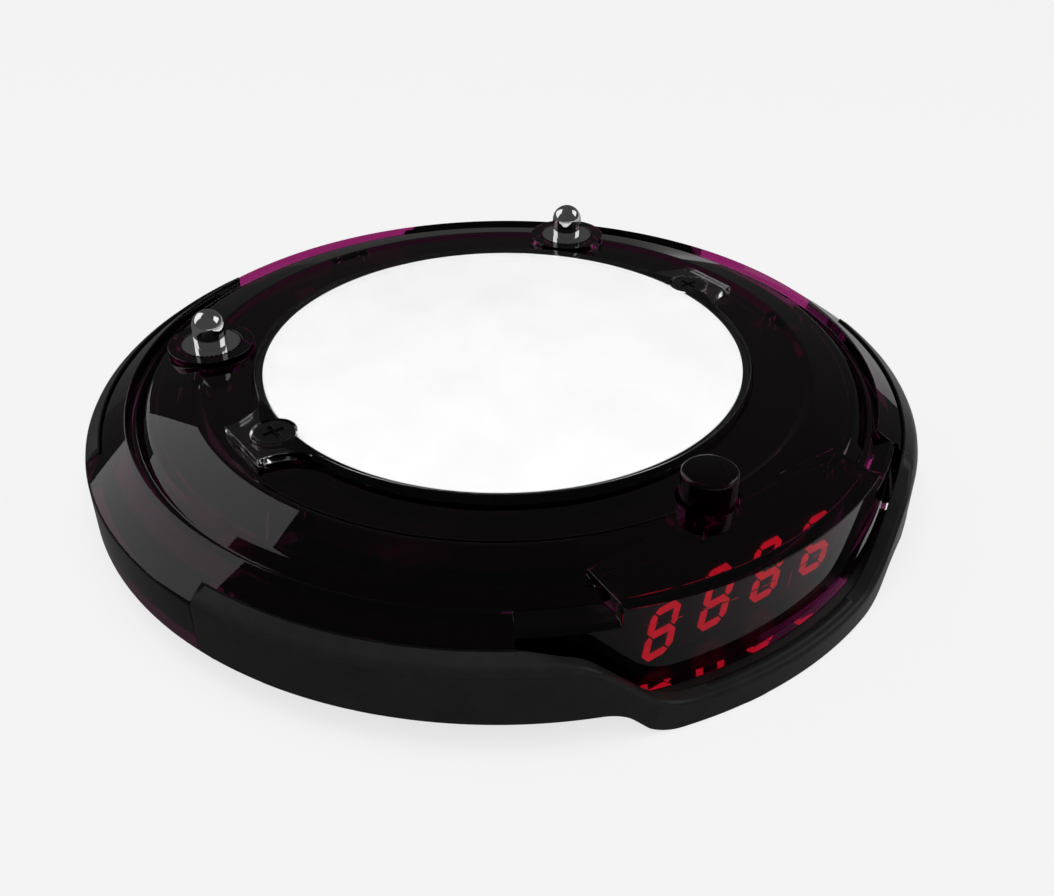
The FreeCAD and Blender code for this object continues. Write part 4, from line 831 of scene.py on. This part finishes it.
def make_floor():
    """A wide pale floor that keeps the pager's shadow. Clear parts see it pale, mirrors a little darker."""
    shape = bmesh.new()
    bmesh.ops.create_circle(shape, cap_ends=True, segments=96, radius=FLOOR_RADIUS)
    mesh = bpy.data.meshes.new("studio_floor")
    shape.to_mesh(mesh)
    shape.free()
    floor = bpy.data.objects.new("studio_floor", mesh)
    bpy.context.scene.collection.objects.link(floor)
    material, tree, output = new_finish("pale_floor")
    dull = tree.nodes.new("ShaderNodeBsdfDiffuse")
    dull.inputs["Color"].default_value = PALE
    bright = tree.nodes.new("ShaderNodeEmission")
    bright.inputs["Color"].default_value = PALE
    muted = tree.nodes.new("ShaderNodeEmission")
    place = tree.nodes.new("ShaderNodeTexCoord")
    parts = tree.nodes.new("ShaderNodeSeparateXYZ")
    forward = tree.nodes.new("ShaderNodeMath")
    forward.operation = "SUBTRACT"
    rise = tree.nodes.new("ShaderNodeMapRange")
    rise.interpolation_type = "SMOOTHSTEP"
    rise.inputs["From Min"].default_value, rise.inputs["From Max"].default_value = MIRRORED_STRETCH
    rise.inputs["To Min"].default_value, rise.inputs["To Max"].default_value = MIRRORED_BRIGHTNESS
    tree.links.new(place.outputs["Object"], parts.inputs["Vector"])
    tree.links.new(parts.outputs["X"], forward.inputs[0])
    tree.links.new(parts.outputs["Y"], forward.inputs[1])
    tree.links.new(forward.outputs["Value"], rise.inputs["Value"])
    tree.links.new(rise.outputs["Result"], muted.inputs["Strength"])
    path = tree.nodes.new("ShaderNodeLightPath")
    seen = tree.nodes.new("ShaderNodeMath")
    seen.operation = "MAXIMUM"
    share = tree.nodes.new("ShaderNodeMath")
    share.operation = "MULTIPLY"
    share.inputs[1].default_value = FLOOR_SHARE
    mix = tree.nodes.new("ShaderNodeMixShader")
    mirror_mix = tree.nodes.new("ShaderNodeMixShader")
    tree.links.new(path.outputs["Is Camera Ray"], seen.inputs[0])
    tree.links.new(path.outputs["Is Transmission Ray"], seen.inputs[1])
    tree.links.new(seen.outputs["Value"], share.inputs[0])
    tree.links.new(share.outputs["Value"], mix.inputs["Fac"])
    tree.links.new(dull.outputs["BSDF"], mix.inputs[1])
    tree.links.new(bright.outputs["Emission"], mix.inputs[2])
    tree.links.new(path.outputs["Is Glossy Ray"], mirror_mix.inputs["Fac"])
    tree.links.new(mix.outputs["Shader"], mirror_mix.inputs[1])
    tree.links.new(muted.outputs["Emission"], mirror_mix.inputs[2])
    tree.links.new(mirror_mix.outputs["Shader"], output.inputs["Surface"])
    mesh.materials.append(material)


def make_world():
    """Pale behind the floor for the camera, dim all round for mirrors, soft fill for dull surfaces."""
    world = bpy.data.worlds.new("studio")
    bpy.context.scene.world = world
    world.use_nodes = True
    tree = world.node_tree
    tree.nodes.clear()
    output = tree.nodes.new("ShaderNodeOutputWorld")
    path = tree.nodes.new("ShaderNodeLightPath")
    pale = tree.nodes.new("ShaderNodeBackground")
    pale.inputs["Color"].default_value = PALE
    dim = tree.nodes.new("ShaderNodeBackground")
    dim.inputs["Color"].default_value = DIM
    mix = tree.nodes.new("ShaderNodeMixShader")
    tree.links.new(path.outputs["Is Camera Ray"], mix.inputs["Fac"])
    tree.links.new(dim.outputs["Background"], mix.inputs[1])
    tree.links.new(pale.outputs["Background"], mix.inputs[2])
    tree.links.new(mix.outputs["Shader"], output.inputs["Surface"])


def make_lamp(name, place, target, width, height, power, mirrored):
    """A soft box that faces a point, seen in mirrors or not."""
    lamp = bpy.data.lights.new(name, "AREA")
    lamp.shape = "RECTANGLE"
    lamp.size = width
    lamp.size_y = height
    lamp.energy = power
    item = bpy.data.objects.new(name, lamp)
    bpy.context.scene.collection.objects.link(item)
    item.location = place
    item.rotation_mode = "QUATERNION"
    item.rotation_quaternion = (Vector(target) - Vector(place)).to_track_quat("-Z", "Y")
    item.visible_glossy = mirrored
    item.visible_transmission = mirrored


def make_lamps():
    """Two tall soft boxes that the housing mirrors, and a wide one above for the dull surfaces."""
    make_lamp(
        "left_box", at_angle(119.0, 1.0, 0.8245), at_angle(0.0, 0.0, 0.8245),
        width=1.03, height=1.267, power=4.0, mirrored=True)
    make_lamp(
        "right_box", at_angle(-20.0, 1.0, 0.85), at_angle(0.0, 0.0, 0.85),
        width=0.88, height=0.85, power=2.4, mirrored=True)
    make_lamp("top_box", (-0.3, -0.4, 1.6), (0, 0, 0), width=1.5, height=1.5, power=41.0, mirrored=False)


def make_camera():
    """The photo's view: its place, direction and slight roll, worked out from the rims' outlines."""
    lens = bpy.data.cameras.new("photo_camera")
    lens.sensor_fit = "HORIZONTAL"
    lens.sensor_width = 36.0
    lens.lens = 39.665
    lens.clip_start = 0.001
    lens.clip_end = 200.0
    camera = bpy.data.objects.new("photo_camera", lens)
    bpy.context.scene.collection.objects.link(camera)
    ahead = Vector((0.4953, 0.6654, -0.5585)).normalized()
    level = Vector((0.8022, -0.5971, 0.0)).normalized()
    above = level.cross(ahead)
    roll = math.radians(0.15)
    across = level * math.cos(roll) + above * math.sin(roll)
    upward = across.cross(ahead)
    turn = Matrix((across, upward, -ahead)).transposed()
    camera.rotation_mode = "QUATERNION"
    camera.rotation_quaternion = turn.to_quaternion()
    camera.location = Vector((-74.97, -105.82, 88.48)) * MM
    bpy.context.scene.camera = camera


make_floor()
make_world()
make_lamps()
make_camera()
bpy.context.scene.view_settings.view_transform = "Standard"
